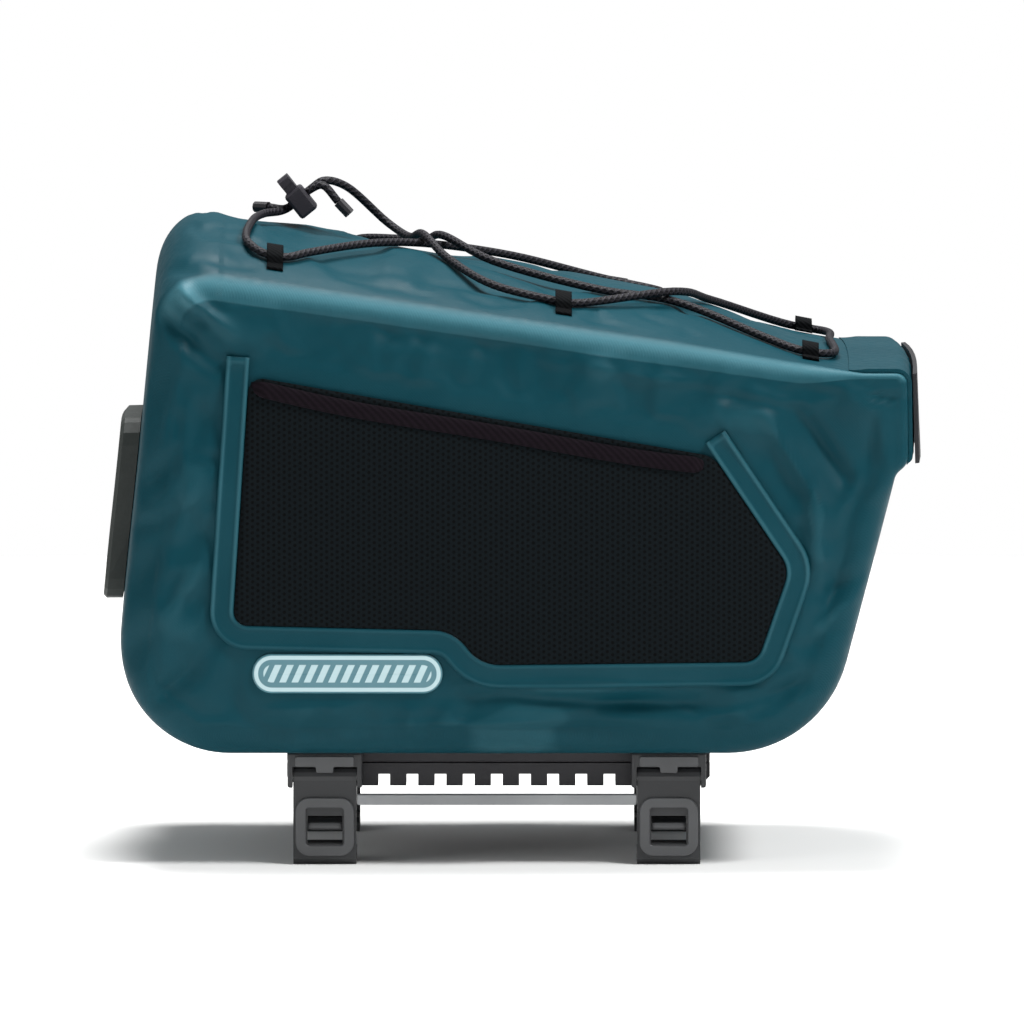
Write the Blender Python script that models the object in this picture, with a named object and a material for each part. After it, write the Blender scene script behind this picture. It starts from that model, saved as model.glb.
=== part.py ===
"""Bicycle trunk bag with a rack adapter, modelled in metres.

+X points forward, +Y to the left side, +Z up. The origin lies on the floor under the middle of the box.
The soft body is a rounded box drawn from its side outline, and one smooth field then gives it its crown,
swell and folds. What lies on the cloth goes through the same field, so it keeps its clearance.
"""

import math

import bmesh
import bpy
import numpy as np
from mathutils import Vector

MM = 0.001
SHARP_ANGLE = 35
BEVEL_ANGLE = 40
ARC_STEP = 20
COARSE_ARC_STEP = 30

# Clearances
GAP = 0.3 * MM
SLIDE_GAP = 0.35 * MM
LAY_GAP = 0.45 * MM

# Soft body
BODY_LENGTH = 336 * MM
BODY_HEIGHT = 206 * MM
BODY_WIDTH = 190 * MM
BODY_BOTTOM = 48.5 * MM
BODY_SETBACK = 3.71 * MM
WALL = 2.0 * MM
EDGE_RADIUS = 9 * MM
EDGE_STEPS = 2
ACROSS_STEPS = 8
BODY_RUN = 26 * MM
SHORTEST_RUN = 1.5 * MM
PANEL_RINGS = (0.40, 0.70, 0.86, 0.94, 1.0)
REAR_TOP_RADIUS = 24 * MM
FRONT_TOP_RADIUS = 13 * MM
WAIST_RADIUS = 60 * MM
REAR_BOTTOM_RADIUS = 46 * MM
FRONT_BOTTOM_RADIUS = 52 * MM
CROWN = 25 * MM
CROWN_START = 0.5
SIDE_SWELL = 5 * MM
END_SWELL = 3 * MM

# Rolled closure at the front
ROLL_HEIGHT = 45 * MM
ROLL_DEPTH = 10.4 * MM
ROLL_CLOTH = 1.5 * MM
ROLL_TAIL = 17 * MM
ROLL_RISE = 0.8 * MM
ROLL_TURNS = 1.36
ROLL_TAPER = 0.45
ROLL_SIDE_MARGIN = 0.3 * MM
ROLL_SHARES = (0, 0.14, 0.36, 0.64, 0.86, 1)
ROLL_POINTS = (0, 0.07, 0.14, 0.25, 0.36, 0.43, 0.5, 0.57, 0.64, 0.75, 0.86, 0.93)
CLOSURE_COLUMNS = 7
STRIP_THICKNESS = 1.8 * MM
STRIP_HEIGHT = 38 * MM
STRIP_SIDE_MARGIN = 6 * MM

# Side pockets and patches
POCKET_CLOTH = 1.2 * MM
FLANGE = 10 * MM
POCKET_BULGE = 2.4 * MM
POCKET_RUN = 30 * MM
MESH_RINGS = (0.4, 0.75, 1.0)
PATCH_LENGTH = 81 * MM
PATCH_HEIGHT = 17 * MM
PATCH_THICKNESS = 1.0 * MM
PATCH_CLEARANCE = 2 * MM
PATCH_INSET = 8.4 * MM
PATCH_STEP_GAP = 4.5 * MM
PATCH_ROUNDING = 0.98
PATCH_RINGS = (0.6, 1.0)
SMALL_RUN = 20 * MM

# Rear plate
PLATE_HEIGHT = 73 * MM
PLATE_WIDTH = 86 * MM
PLATE_THICKNESS = 8.5 * MM
PLATE_CENTRE_Z = 147 * MM
PLATE_RADIUS = 9 * MM
PLATE_CHAMFER = 1.5 * MM
PLATE_RINGS = (0.35, 0.7, 1.0)

# Rack adapter
ADAPTER_LENGTH = 181 * MM
ADAPTER_CENTRE_X = -5.8 * MM
ADAPTER_HALF_WIDTH = 69 * MM
ADAPTER_BEVEL = 0.8 * MM
RAIL_CHAMFER = 4 * MM
CLAMP_SPACING = 147 * MM
CLAMP_CENTRE_X = -6.5 * MM
TOOTH_TOP = 43 * MM
TOOTH_BOTTOM = 33 * MM
NOTCH_PITCH = 12.06 * MM
NOTCH_WIDTH = 5 * MM
NOTCH_COUNT = 9
NOTCH_HEIGHT = 5 * MM
JAW_ROOF_Z = 24.5 * MM
JAW_ROOF_DEPTH = 19 * MM
BLOCK_WIDTH = 32 * MM
BLOCK_DEPTH = 10 * MM
BLOCK_BOTTOM = 33 * MM
CHEEK = 2.2 * MM
HOOK_WIDTH = 27 * MM
HOOK_WALL = 5.5 * MM
HOOK_LIP = 6 * MM
HOOK_REACH = 22 * MM
HOOK_CHAMFER = 3 * MM
WINDOW_WIDTH = 15 * MM
WINDOW_LOW = 9 * MM
WINDOW_HIGH = 21 * MM
PIVOT_Z = 37.5 * MM
PIN_RADIUS = 1.8 * MM
KNUCKLE_RADIUS = 4.2 * MM
PAD_THICKNESS = 1.8 * MM
PAD_MARGIN = 1.5 * MM
BAR_HEIGHT = 4.6 * MM
BAR_DEPTH = 4.6 * MM
BAR_BOTTOM = 25.6 * MM
BAR_BEVEL = 0.6 * MM
BLOCK_BEVEL = 1.0 * MM

# Lacing
CORD_DIAMETER = 3.5 * MM
LOOP_CLOTH = 1.3 * MM
LOOP_LENGTH = 7 * MM
LOOP_OPENING = 7.5 * MM
LOOP_HEIGHT = 5.2 * MM
LOOP_FOOT = 4 * MM
LOOP_ARCH = 0.5
LOOP_ARC_STEPS = 4
LOCK_TILT = math.radians(-38.7)
LOCK_X = -87.2 * MM
LOCK_Y = 10 * MM
LOCK_RISE = 27.88 * MM
BARREL_DEPTH = 8.8 * MM
BARREL_WIDTH = 14 * MM
BARREL_LENGTH = 12.5 * MM
BARREL_WALL = 1.4 * MM
STRAND_SPACING = 3.9 * MM
PLUNGER_TRAVEL = 2.5 * MM
BUTTON_HEIGHT = 4.2 * MM
LOCK_BEVEL = 1.2 * MM
CORD_END_RADIUS = 2.4 * MM
CORD_END_LENGTH = 7 * MM
CORD_END_SIDES = 10

# Side outline of the body: share of length, share of height, corner radius
SIDE_OUTLINE = [
    ("rear_top", 0.066, 1.000, REAR_TOP_RADIUS),
    ("rear_bottom", 0.000, 0.000, REAR_BOTTOM_RADIUS),
    ("front_bottom", 0.905, 0.000, FRONT_BOTTOM_RADIUS),
    ("front_waist", 0.999, 0.590, WAIST_RADIUS),
    ("front_top", 0.985, 0.786, FRONT_TOP_RADIUS),
]

# Crown of the top panel: share of length, share of the crown height
CROWN_TABLE = [
    ("rear", 0.05, 1.00),
    ("quarter", 0.26, 0.90),
    ("middle", 0.52, 0.78),
    ("three_quarter", 0.72, 0.64),
    ("before_roll", 0.86, 0.22),
    ("roll", 0.97, 0.06),
]

# Folds of the side cloth: shares of length and height for the centre, of length for both half sizes,
# the turn in degrees and the depth as a share of the width. A negative depth stands proud.
FOLDS = [
    ("rear_upper_dent", 0.045, 0.38, 0.050, 0.018, 70, 0.026),
    ("rear_lower_dent", 0.030, 0.22, 0.055, 0.020, 60, 0.028),
    ("rear_ridge", 0.060, 0.30, 0.070, 0.014, 84, -0.012),
    ("front_upper_fold", 0.930, 0.42, 0.060, 0.016, 75, 0.020),
    ("front_lower_fold", 0.900, 0.26, 0.055, 0.016, 62, 0.018),
    ("bottom_fold_rear", 0.230, 0.050, 0.100, 0.016, 4, 0.016),
    ("bottom_fold_front", 0.640, 0.045, 0.120, 0.016, -5, 0.016),
]

# Pocket window: shares of length and height, corner radius as a share of the height
POCKET_WINDOW = [
    ("top_rear", 0.178, 0.790, 0.030),
    ("bottom_rear", 0.157, 0.272, 0.030),
    ("step_rear", 0.437, 0.262, 0.085),
    ("step_front", 0.470, 0.190, 0.085),
    ("bottom_front", 0.822, 0.196, 0.040),
    ("front_low", 0.863, 0.390, 0.060),
    ("top_front", 0.766, 0.625, 0.060),
]

# Cord loops: side (-1 right, 1 left), x in metres, share of the half width
CORD_LOOPS = [
    ("right_rear", -1, -101 * MM, 0.74),
    ("right_middle", -1, 22 * MM, 0.74),
    ("right_front", -1, 127 * MM, 0.74),
    ("left_rear", 1, -55 * MM, 0.74),
    ("left_middle", 1, 47 * MM, 0.74),
    ("left_front", 1, 127 * MM, 0.74),
]

# Route of the cord from its first end to its last: x, y and the height over the ridge line in mm,
# and the spans to the next point.
# It runs through the lock, zigzags through the six loops and comes back through the lock.
CORD_ROUTE = [
    (-75.1, 6, 34.7, 1),
    (-81.8, 7.3, 40.7, 1),
    (-86.9, 8.05, 38.2, 1),
    (-97.3, 8.05, 28.3, 1),
    (-107, -6, 25.7, 1),
    (-112, -34, 22.9, 1),
    (-113, -60, 16.6, 2),
    (-105.5, -70, 13.2, 1),
    (-96.5, -70.2, 12.9, 1),
    (-87, -62, 15.6, 2),
    (-60, -33, 21.5, 1),
    (-38, -11, 23.1, 2),
    (0, 25, 20.8, 2),
    (40, 54, 14.5, 2),
    (61, 58.5, 12.7, 2),
    (65, 66.5, 11.3, 2),
    (54, 70.6, 10.2, 5),
    (-59.5, 70.4, 12.5, 2),
    (-68.5, 65, 14.2, 2),
    (-65, 55, 17.1, 2),
    (-38, 22, 22.6, 1),
    (-30, -2, 27.1, 2),
    (-8, -28, 20.9, 2),
    (38, -45, 16.3, 2),
    (69, -40, 15.6, 2),
    (108, -60, 7.1, 1),
    (122, -70.3, 4.6, 1),
    (131.5, -70, 4.3, 2),
    (137, -62, 4.6, 3),
    (137, 0, 5.8, 3),
    (137, 62, 4.6, 2),
    (131.5, 70, 4.3, 1),
    (122, 70.3, 4.6, 3),
    (86, 8, 15, 2),
    (69.5, -38, 19.6, 3),
    (26, -70.3, 10.7, 1),
    (16, -70.3, 10.9, 2),
    (-8, -64, 13.2, 2),
    (-28, -36, 20.2, 1),
    (-38.5, -11.5, 27.2, 1),
    (-44.5, 10, 23.7, 1),
    (-54, 23, 27.6, 1),
    (-72, 18, 41.1, 1),
    (-81.5, 12.6, 42.4, 1),
    (-86.9, 11.95, 38.2, 1),
    (-97.3, 11.95, 28.3, 1),
    (-105, 17, 27.2, 1),
]


def make_material(name, colour, roughness, metallic=0.0):
    material = bpy.data.materials.new(name)
    material.use_nodes = True
    shader = material.node_tree.nodes["Principled BSDF"]
    shader.inputs["Base Color"].default_value = (*colour, 1.0)
    shader.inputs["Roughness"].default_value = roughness
    shader.inputs["Metallic"].default_value = metallic
    return material


def make_mesh_object(name, verts, faces, material, parent=None, local=False):
    """A closed mesh as an object, in the part's frame or, if local, in its parent's."""
    mesh = bpy.data.meshes.new(name)
    mesh.from_pydata([tuple(map(float, v)) for v in verts], [], faces)
    work = bmesh.new()
    work.from_mesh(mesh)
    bmesh.ops.recalc_face_normals(work, faces=work.faces)
    work.to_mesh(mesh)
    work.free()
    mesh.shade_smooth()
    mesh.set_sharp_from_angle(angle=math.radians(SHARP_ANGLE))
    mesh.materials.append(material)
    thing = bpy.data.objects.new(name, mesh)
    thing.parent = parent
    if parent is not None and not local:
        thing.matrix_parent_inverse = parent.matrix_basis.inverted()
    bpy.context.collection.objects.link(thing)
    return thing


def make_empty(name, location, tilt=0.0, parent=None):
    empty = bpy.data.objects.new(name, None)
    empty.location = location
    empty.rotation_euler = (0, tilt, 0)
    empty.parent = parent
    bpy.context.collection.objects.link(empty)
    return empty


def rounded_outline(corners, degrees_per_step=ARC_STEP):
    """Points of a closed outline whose corners are arcs, with their outward normals."""
    area = sum(
        a[0] * b[1] - b[0] * a[1] for a, b in zip(corners, corners[1:] + corners[:1])
    )
    turn_sign = 1 if area > 0 else -1
    points = []
    normals = []
    for before, corner, after in zip(
        corners[-1:] + corners[:-1], corners, corners[1:] + corners[:1]
    ):
        here = np.array(corner[:2])
        into = here - np.array(before[:2])
        out = np.array(after[:2]) - here
        into /= np.linalg.norm(into)
        out /= np.linalg.norm(out)
        bend = math.atan2(into[0] * out[1] - into[1] * out[0], float(into @ out))
        radius = corner[2]
        setback = radius * math.tan(abs(bend) / 2)
        steps = max(2, math.ceil(abs(math.degrees(bend)) / degrees_per_step))
        inward = np.array([-into[1], into[0]]) * math.copysign(1, bend)
        centre = here - into * setback + inward * radius
        for step in range(steps + 1):
            angle = bend * step / steps
            turned = np.array(
                [
                    -inward[0] * math.cos(angle) + inward[1] * math.sin(angle),
                    -inward[0] * math.sin(angle) - inward[1] * math.cos(angle),
                ]
            )
            points.append(centre + turned * radius)
            normals.append(turned * math.copysign(1, bend) * turn_sign)
    return np.array(points), np.array(normals)


def filled_outline(points, normals, longest):
    """The same closed outline with points added on its long straight runs."""
    new_points = []
    new_normals = []
    for i in range(len(points)):
        j = (i + 1) % len(points)
        steps = max(
            1, math.ceil(float(np.linalg.norm(points[j] - points[i])) / longest)
        )
        for step in range(steps):
            share = step / steps
            new_points.append(points[i] * (1 - share) + points[j] * share)
            normal = normals[i] * (1 - share) + normals[j] * share
            new_normals.append(normal / np.linalg.norm(normal))
    return np.array(new_points), np.array(new_normals)


def outline_stretch(points, normals, start, end):
    """The part of a closed outline between two arc lengths, ends included."""
    count = len(points)
    steps = np.linalg.norm(np.roll(points, -1, axis=0) - points, axis=1)
    along = np.concatenate([[0.0], np.cumsum(steps)])
    total = along[-1]

    def at(distance):
        distance = distance % total
        i = min(int(np.searchsorted(along, distance, side="right")) - 1, count - 1)
        share = (distance - along[i]) / steps[i]
        j = (i + 1) % count
        normal = normals[i] * (1 - share) + normals[j] * share
        return points[i] * (1 - share) + points[
            j
        ] * share, normal / np.linalg.norm(normal)

    inside = []
    for lap in (0, 1):
        for i in range(count):
            distance = along[i] + lap * total
            if start + SHORTEST_RUN < distance < end - SHORTEST_RUN:
                inside.append(distance)
    stretch = [at(d) for d in [start] + inside + [end]]
    return np.array([p for p, n in stretch]), np.array([n for p, n in stretch])


def body_point(share_x, share_z):
    return (
        BODY_REAR_X + share_x * BODY_LENGTH,
        BODY_BOTTOM + share_z * BODY_HEIGHT,
    )


BODY_REAR_X = -BODY_LENGTH / 2 - BODY_SETBACK
OUTLINE_CORNERS = [
    (*body_point(row[1], row[2]), row[3]) for row in SIDE_OUTLINE
]
RIDGE_REAR = OUTLINE_CORNERS[0]
RIDGE_FRONT = OUTLINE_CORNERS[-1]


def ridge_height(x):
    """Height of the top edge line at x."""
    share = (x - RIDGE_REAR[0]) / (RIDGE_FRONT[0] - RIDGE_REAR[0])
    return RIDGE_REAR[1] + share * (RIDGE_FRONT[1] - RIDGE_REAR[1])


def smooth_step(value):
    value = np.clip(value, 0, 1)
    return value * value * (3 - 2 * value)


def softened(points):
    """The soft form: crown on the top, swell of the sides and ends, and the folds."""
    points = np.array(points, dtype=float)
    x, y, z = points[:, 0], points[:, 1], points[:, 2]
    share_x = (x - BODY_REAR_X) / BODY_LENGTH
    share_z = (z - BODY_BOTTOM) / BODY_HEIGHT
    across = np.clip(np.abs(y) / (BODY_WIDTH / 2), 0, 1)
    crown = 1 - across**2
    top_share = (z - BODY_BOTTOM) / (ridge_height(x) - BODY_BOTTOM)
    crown_share = np.interp(
        share_x, [row[1] for row in CROWN_TABLE], [row[2] for row in CROWN_TABLE]
    )
    lift = CROWN * crown_share * crown * smooth_step((top_share - CROWN_START) / (1 - CROWN_START))
    middle_x = np.clip(1 - (2 * share_x - 1) ** 2, 0, 1)
    middle_z = np.clip(1 - (2 * share_z - 1) ** 2, 0, 1)
    outward = SIDE_SWELL * middle_x * middle_z
    for name, fold_x, fold_z, half_long, half_wide, turn, depth in FOLDS:
        angle = math.radians(turn)
        dx = (share_x - fold_x) * BODY_LENGTH
        dz = (share_z - fold_z) * BODY_HEIGHT
        long_way = dx * math.cos(angle) + dz * math.sin(angle)
        wide_way = dz * math.cos(angle) - dx * math.sin(angle)
        bell = np.exp(
            -((long_way / (half_long * BODY_LENGTH)) ** 2)
            - (wide_way / (half_wide * BODY_LENGTH)) ** 2
        )
        outward = outward - depth * BODY_WIDTH * bell
    ends = np.clip(2 * share_x - 1, -1, 1) ** 3
    moved = points.copy()
    moved[:, 0] = x + END_SWELL * ends * crown * middle_z
    moved[:, 1] = y + np.sign(y) * across * outward
    moved[:, 2] = z + lift
    return moved


def grid_solid(name, outer, inner, material, closed_rows=False, parent=None):
    """A closed wall between two grids of points of the same size."""
    rows, columns = outer.shape[:2]
    verts = np.concatenate([outer.reshape(-1, 3), inner.reshape(-1, 3)])
    layer = rows * columns
    faces = []
    row_steps = rows if closed_rows else rows - 1
    for i in range(row_steps):
        k = (i + 1) % rows
        for j in range(columns - 1):
            a, b = i * columns + j, i * columns + j + 1
            c, d = k * columns + j + 1, k * columns + j
            faces.append((a, b, c, d))
            faces.append((layer + d, layer + c, layer + b, layer + a))
        for j in (0, columns - 1):
            a, d = i * columns + j, k * columns + j
            faces.append((a, d, layer + d, layer + a))
    if not closed_rows:
        for i in (0, rows - 1):
            for j in range(columns - 1):
                a, b = i * columns + j, i * columns + j + 1
                faces.append((a, b, layer + b, layer + a))
    return make_mesh_object(name, verts, faces, material, parent)


def disc_solid(name, rings, thickness_rings, material, parent=None):
    """A closed wall over rings of points that shrink to the first ring's middle."""
    count = rings[0].shape[0]
    layers = []
    for layer_rings in (rings, thickness_rings):
        layers.append(np.concatenate([layer_rings[0].mean(axis=0)[None]] + layer_rings))
    layer = layers[0].shape[0]
    verts = np.concatenate(layers)
    faces = []
    for base in (0, layer):
        for j in range(count):
            k = (j + 1) % count
            faces.append((base, base + 1 + j, base + 1 + k))
            for ring in range(len(rings) - 1):
                a = base + 1 + ring * count
                b = a + count
                faces.append((a + j, b + j, b + k, a + k))
    last = 1 + (len(rings) - 1) * count
    for j in range(count):
        k = (j + 1) % count
        faces.append((last + j, last + k, layer + last + k, layer + last + j))
    return make_mesh_object(name, verts, faces, material, parent)


def prism(name, outline, axis, low, high, material, parent=None, local=False):
    """An outline carried straight along an axis, with flat ends."""
    count = len(outline)
    places = {"x": (1, 2, 0), "y": (0, 2, 1), "z": (0, 1, 2)}[axis]
    verts = np.zeros((2 * count, 3))
    verts[:, places[:2]] = np.array(list(outline) * 2)
    verts[:count, places[2]] = low
    verts[count:, places[2]] = high
    faces = [tuple(range(count)), tuple(range(2 * count - 1, count - 1, -1))]
    for i in range(count):
        k = (i + 1) % count
        faces.append((i, k, count + k, count + i))
    return make_mesh_object(name, verts, faces, material, parent, local)


def box(name, low, high, material, parent=None, bevel=0.0, local=False):
    outline = [
        (low[0], low[2]),
        (high[0], low[2]),
        (high[0], high[2]),
        (low[0], high[2]),
    ]
    thing = prism(name, outline, "y", low[1], high[1], material, parent, local)
    if bevel:
        add_bevel(thing, bevel)
    return thing


def circle(centre, radius, sides=12):
    angles = [2 * math.pi * step / sides for step in range(sides)]
    return [
        (centre[0] + radius * math.cos(a), centre[1] + radius * math.sin(a))
        for a in angles
    ]


def add_bevel(thing, width, segments=2):
    modifier = thing.modifiers.new("edge", "BEVEL")
    modifier.width = width
    modifier.segments = segments
    modifier.limit_method = "ANGLE"
    modifier.angle_limit = math.radians(BEVEL_ANGLE)


def take_away(thing, cutter):
    """Takes a cutter's shape out of a solid."""
    cutter.hide_render = True
    cutter.display_type = "WIRE"
    modifier = thing.modifiers.new("cut", "BOOLEAN")
    modifier.operation = "DIFFERENCE"
    modifier.solver = "EXACT"
    modifier.object = cutter


def cut_box(thing, label, low, high, local=False):
    name = f"{thing.name}_{label}"
    take_away(
        thing, box(name, low, high, thing.data.materials[0], thing.parent, local=local)
    )


def cut_hole_along_x(thing, centre, radius, low, high):
    name = f"{thing.name}_hole"
    outline = circle(centre, radius)
    material = thing.data.materials[0]
    take_away(thing, prism(name, outline, "x", low, high, material, thing.parent))


def body_wall(name, points, normals, material, parent):
    """A wall of the band that runs round the body, from edge round to edge round."""
    half = BODY_WIDTH / 2
    section = []
    for step in range(EDGE_STEPS + 1):
        angle = math.pi / 2 * step / EDGE_STEPS
        section.append(
            (
                EDGE_RADIUS * (1 - math.sin(angle)),
                -half + EDGE_RADIUS * (1 - math.cos(angle)),
                math.sin(angle),
                -math.cos(angle),
            )
        )
    flat = half - EDGE_RADIUS
    for step in range(1, ACROSS_STEPS):
        section.append((0.0, -flat + 2 * flat * step / ACROSS_STEPS, 1.0, 0.0))
    section += [(inset, -y, n, -side) for inset, y, n, side in reversed(section[: EDGE_STEPS + 1])]
    outer = np.zeros((len(points), len(section), 3))
    inner = np.zeros_like(outer)
    for j, (inset, y, along_normal, along_y) in enumerate(section):
        outer[:, j, 0] = points[:, 0] - normals[:, 0] * inset
        outer[:, j, 2] = points[:, 1] - normals[:, 1] * inset
        outer[:, j, 1] = y
        inner[:, j, 0] = outer[:, j, 0] - normals[:, 0] * along_normal * WALL
        inner[:, j, 2] = outer[:, j, 2] - normals[:, 1] * along_normal * WALL
        inner[:, j, 1] = y - along_y * WALL
    shape = outer.shape
    outer = softened(outer.reshape(-1, 3)).reshape(shape)
    inner = softened(inner.reshape(-1, 3)).reshape(shape)
    return grid_solid(name, outer, inner, material, parent=parent)


def side_layer(flat_points, side, offset, bulge=0.0):
    """Points of an XZ outline laid on a side of the body, offset outwards."""
    points = np.zeros((len(flat_points), 3))
    points[:, 0] = flat_points[:, 0]
    points[:, 1] = side * (BODY_WIDTH / 2 + offset + bulge)
    points[:, 2] = flat_points[:, 1]
    return softened(points)


def side_sheet(name, loop, shares, side, offset, thickness, material, parent, bulge=0):
    """A sheet inside a loop, laid on a side of the body, in rings about its middle."""
    middle = loop.mean(axis=0)
    outer_rings = []
    inner_rings = []
    for share in shares:
        ring = middle + (loop - middle) * share
        stand = bulge * (1 - share**2)
        outer_rings.append(side_layer(ring, side, offset + thickness, stand))
        inner_rings.append(side_layer(ring, side, offset, stand))
    return disc_solid(name, outer_rings, inner_rings, material, parent)


def build_body(materials, root):
    points, normals = rounded_outline(OUTLINE_CORNERS)
    points, normals = filled_outline(points, normals, BODY_RUN)
    steps = np.linalg.norm(np.roll(points, -1, axis=0) - points, axis=1)
    along = np.concatenate([[0.0], np.cumsum(steps)])
    total = along[-1]
    rear_split = nearest_length(points, along, OUTLINE_CORNERS[0])
    waist_split = nearest_length(points, along, OUTLINE_CORNERS[3])
    gusset = outline_stretch(
        points, normals, rear_split + GAP / 2, waist_split - GAP / 2
    )
    top = outline_stretch(
        points, normals, waist_split + GAP / 2, rear_split + total - GAP / 2
    )
    body_wall("gusset", *gusset, materials["cloth"], root)
    body_wall("top_panel", *top, materials["cloth"], root)
    loop = points - normals * (EDGE_RADIUS + GAP)
    for side, label in ((-1, "right"), (1, "left")):
        side_sheet(
            f"side_panel_{label}",
            loop,
            PANEL_RINGS,
            side,
            -WALL,
            WALL,
            materials["cloth"],
            root,
        )


def nearest_length(points, along, corner):
    distances = np.linalg.norm(points - np.array(corner[:2]), axis=1)
    return along[int(np.argmin(distances))]


def pocket_loop():
    corners = [
        (*body_point(row[1], row[2]), row[3] * BODY_HEIGHT) for row in POCKET_WINDOW
    ]
    points, normals = rounded_outline(corners, COARSE_ARC_STEP)
    return filled_outline(points, normals, POCKET_RUN)


def build_pockets(materials, root):
    window, normals = pocket_loop()
    outer_border = window + normals * FLANGE
    for side, label in ((-1, "right"), (1, "left")):
        layers = []
        for offset in (LAY_GAP + POCKET_CLOTH, LAY_GAP):
            layers.append(
                np.stack(
                    [
                        side_layer(window, side, offset),
                        side_layer(outer_border, side, offset),
                    ],
                    axis=1,
                )
            )
        grid_solid(
            f"pocket_frame_{label}",
            layers[0],
            layers[1],
            materials["cloth"],
            closed_rows=True,
            parent=root,
        )
        side_sheet(
            f"pocket_mesh_{label}",
            window - normals * GAP,
            MESH_RINGS,
            side,
            LAY_GAP,
            POCKET_CLOTH,
            materials["mesh"],
            root,
            bulge=POCKET_BULGE,
        )
        # The patch starts ahead of the window's rear corner and ends before the step in the border.
        start_x = body_point(POCKET_WINDOW[1][1], 0)[0] + PATCH_INSET
        step_x = body_point(POCKET_WINDOW[2][1], 0)[0]
        half_long = min(PATCH_LENGTH, step_x - PATCH_STEP_GAP - start_x) / 2
        half_high = PATCH_HEIGHT / 2
        centre_x = start_x + half_long
        border_bottom = body_point(0, POCKET_WINDOW[1][2])[1] - FLANGE
        centre_z = border_bottom - PATCH_CLEARANCE - half_high
        corners = [
            (centre_x + sx * half_long, centre_z + sz * half_high, half_high * PATCH_ROUNDING)
            for sx, sz in ((-1, 1), (-1, -1), (1, -1), (1, 1))
        ]
        pill, pill_normals = rounded_outline(corners, COARSE_ARC_STEP)
        pill, pill_normals = filled_outline(pill, pill_normals, SMALL_RUN)
        side_sheet(
            f"reflector_patch_{label}",
            pill,
            PATCH_RINGS,
            side,
            LAY_GAP,
            PATCH_THICKNESS,
            materials["patch"],
            root,
        )


def roll_path():
    """Middle line of the rolled cloth in XZ: a tail over the top edge, then flattened turns.

    The turns are stadiums that lie a cloth and a gap inside each other. The room that they fill is
    a full half depth at the top and tapers towards the lower end.
    """
    corner = np.array(RIDGE_FRONT[:2])
    waist = np.array(OUTLINE_CORNERS[3][:2])
    up = (corner - waist) / np.linalg.norm(corner - waist)
    outward = np.array([up[1], -up[0]])
    half_depth = (ROLL_DEPTH - ROLL_CLOTH) / 2
    half_height = (ROLL_HEIGHT - ROLL_CLOTH) / 2
    straight = half_height - half_depth
    tail_rise = ROLL_CLOTH / 2 + 2 * GAP
    path = []
    for share in (1.0, 0.5):
        x = corner[0] - ROLL_TAIL * share
        path.append((x, ridge_height(x) + tail_rise))
    centre = corner + up * (tail_rise + ROLL_RISE - half_height)
    turns = [lap + share for lap in range(math.ceil(ROLL_TURNS)) for share in ROLL_POINTS]
    for turn in [turn for turn in turns if turn <= ROLL_TURNS]:
        angle = math.radians(np.interp(turn % 1, ROLL_SHARES, (90, 0, 0, -180, -180, -270)))
        stretch = straight * np.interp(turn % 1, ROLL_SHARES, (1, 1, -1, -1, 1, 1))
        inset = (ROLL_CLOTH + GAP) * turn
        height = (half_depth - inset) * math.sin(angle) + stretch
        room = half_depth * (1 - ROLL_TAPER * (half_height - height) / (2 * half_height))
        depth = (room - inset) * math.cos(angle) + room + ROLL_CLOTH / 2
        path.append(centre + up * height + outward * (depth + 2 * GAP))
    return np.array(path), centre, up, outward


def thick_line(path, thickness):
    """A closed outline of a line with a thickness, corners kept at their middle."""
    forward = np.gradient(path, axis=0)
    forward /= np.linalg.norm(forward, axis=1)[:, None]
    sideways = np.stack([-forward[:, 1], forward[:, 0]], axis=1) * thickness / 2
    return np.concatenate([path + sideways, (path - sideways)[::-1]])


def across_solid(name, outline, half_width, material, parent):
    """An XZ outline carried across the body through the soft field.

    The outline runs up one face and back down the other, so its ends close with a row of quads.
    """
    columns = CLOSURE_COLUMNS
    levels = np.linspace(-half_width, half_width, columns)
    count = len(outline)
    verts = []
    for level in levels:
        layer = np.zeros((count, 3))
        layer[:, 0] = outline[:, 0]
        layer[:, 1] = level
        layer[:, 2] = outline[:, 1]
        verts.append(softened(layer))
    faces = []
    for base in (0, (columns - 1) * count):
        for i in range(count // 2 - 1):
            faces.append((base + i, base + i + 1, base + count - 2 - i, base + count - 1 - i))
    for j in range(columns - 1):
        for i in range(count):
            k = (i + 1) % count
            a = j * count
            faces.append((a + i, a + k, a + count + k, a + count + i))
    return make_mesh_object(name, np.concatenate(verts), faces, material, parent)


def build_closure(materials, root):
    path, centre, up, outward = roll_path()
    across_solid(
        "roll_closure",
        thick_line(path, ROLL_CLOTH),
        BODY_WIDTH / 2 - ROLL_SIDE_MARGIN,
        materials["cloth"],
        root,
    )
    back_at = {}
    for end in (-1, 1):
        height = end * STRIP_HEIGHT / 2
        taper = 1 - ROLL_TAPER * (ROLL_HEIGHT / 2 - height) / ROLL_HEIGHT
        back_at[end] = (ROLL_DEPTH - ROLL_CLOTH) * taper + ROLL_CLOTH + 3 * GAP
    strip = np.array(
        [
            centre + up * end * STRIP_HEIGHT / 2 + outward * (back_at[end] + stand)
            for end, stand in (
                (-1, 0),
                (-1, STRIP_THICKNESS),
                (1, STRIP_THICKNESS),
                (1, 0),
            )
        ]
    )
    across_solid(
        "closure_strip",
        strip,
        BODY_WIDTH / 2 - STRIP_SIDE_MARGIN,
        materials["black"],
        root,
    )


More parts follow.
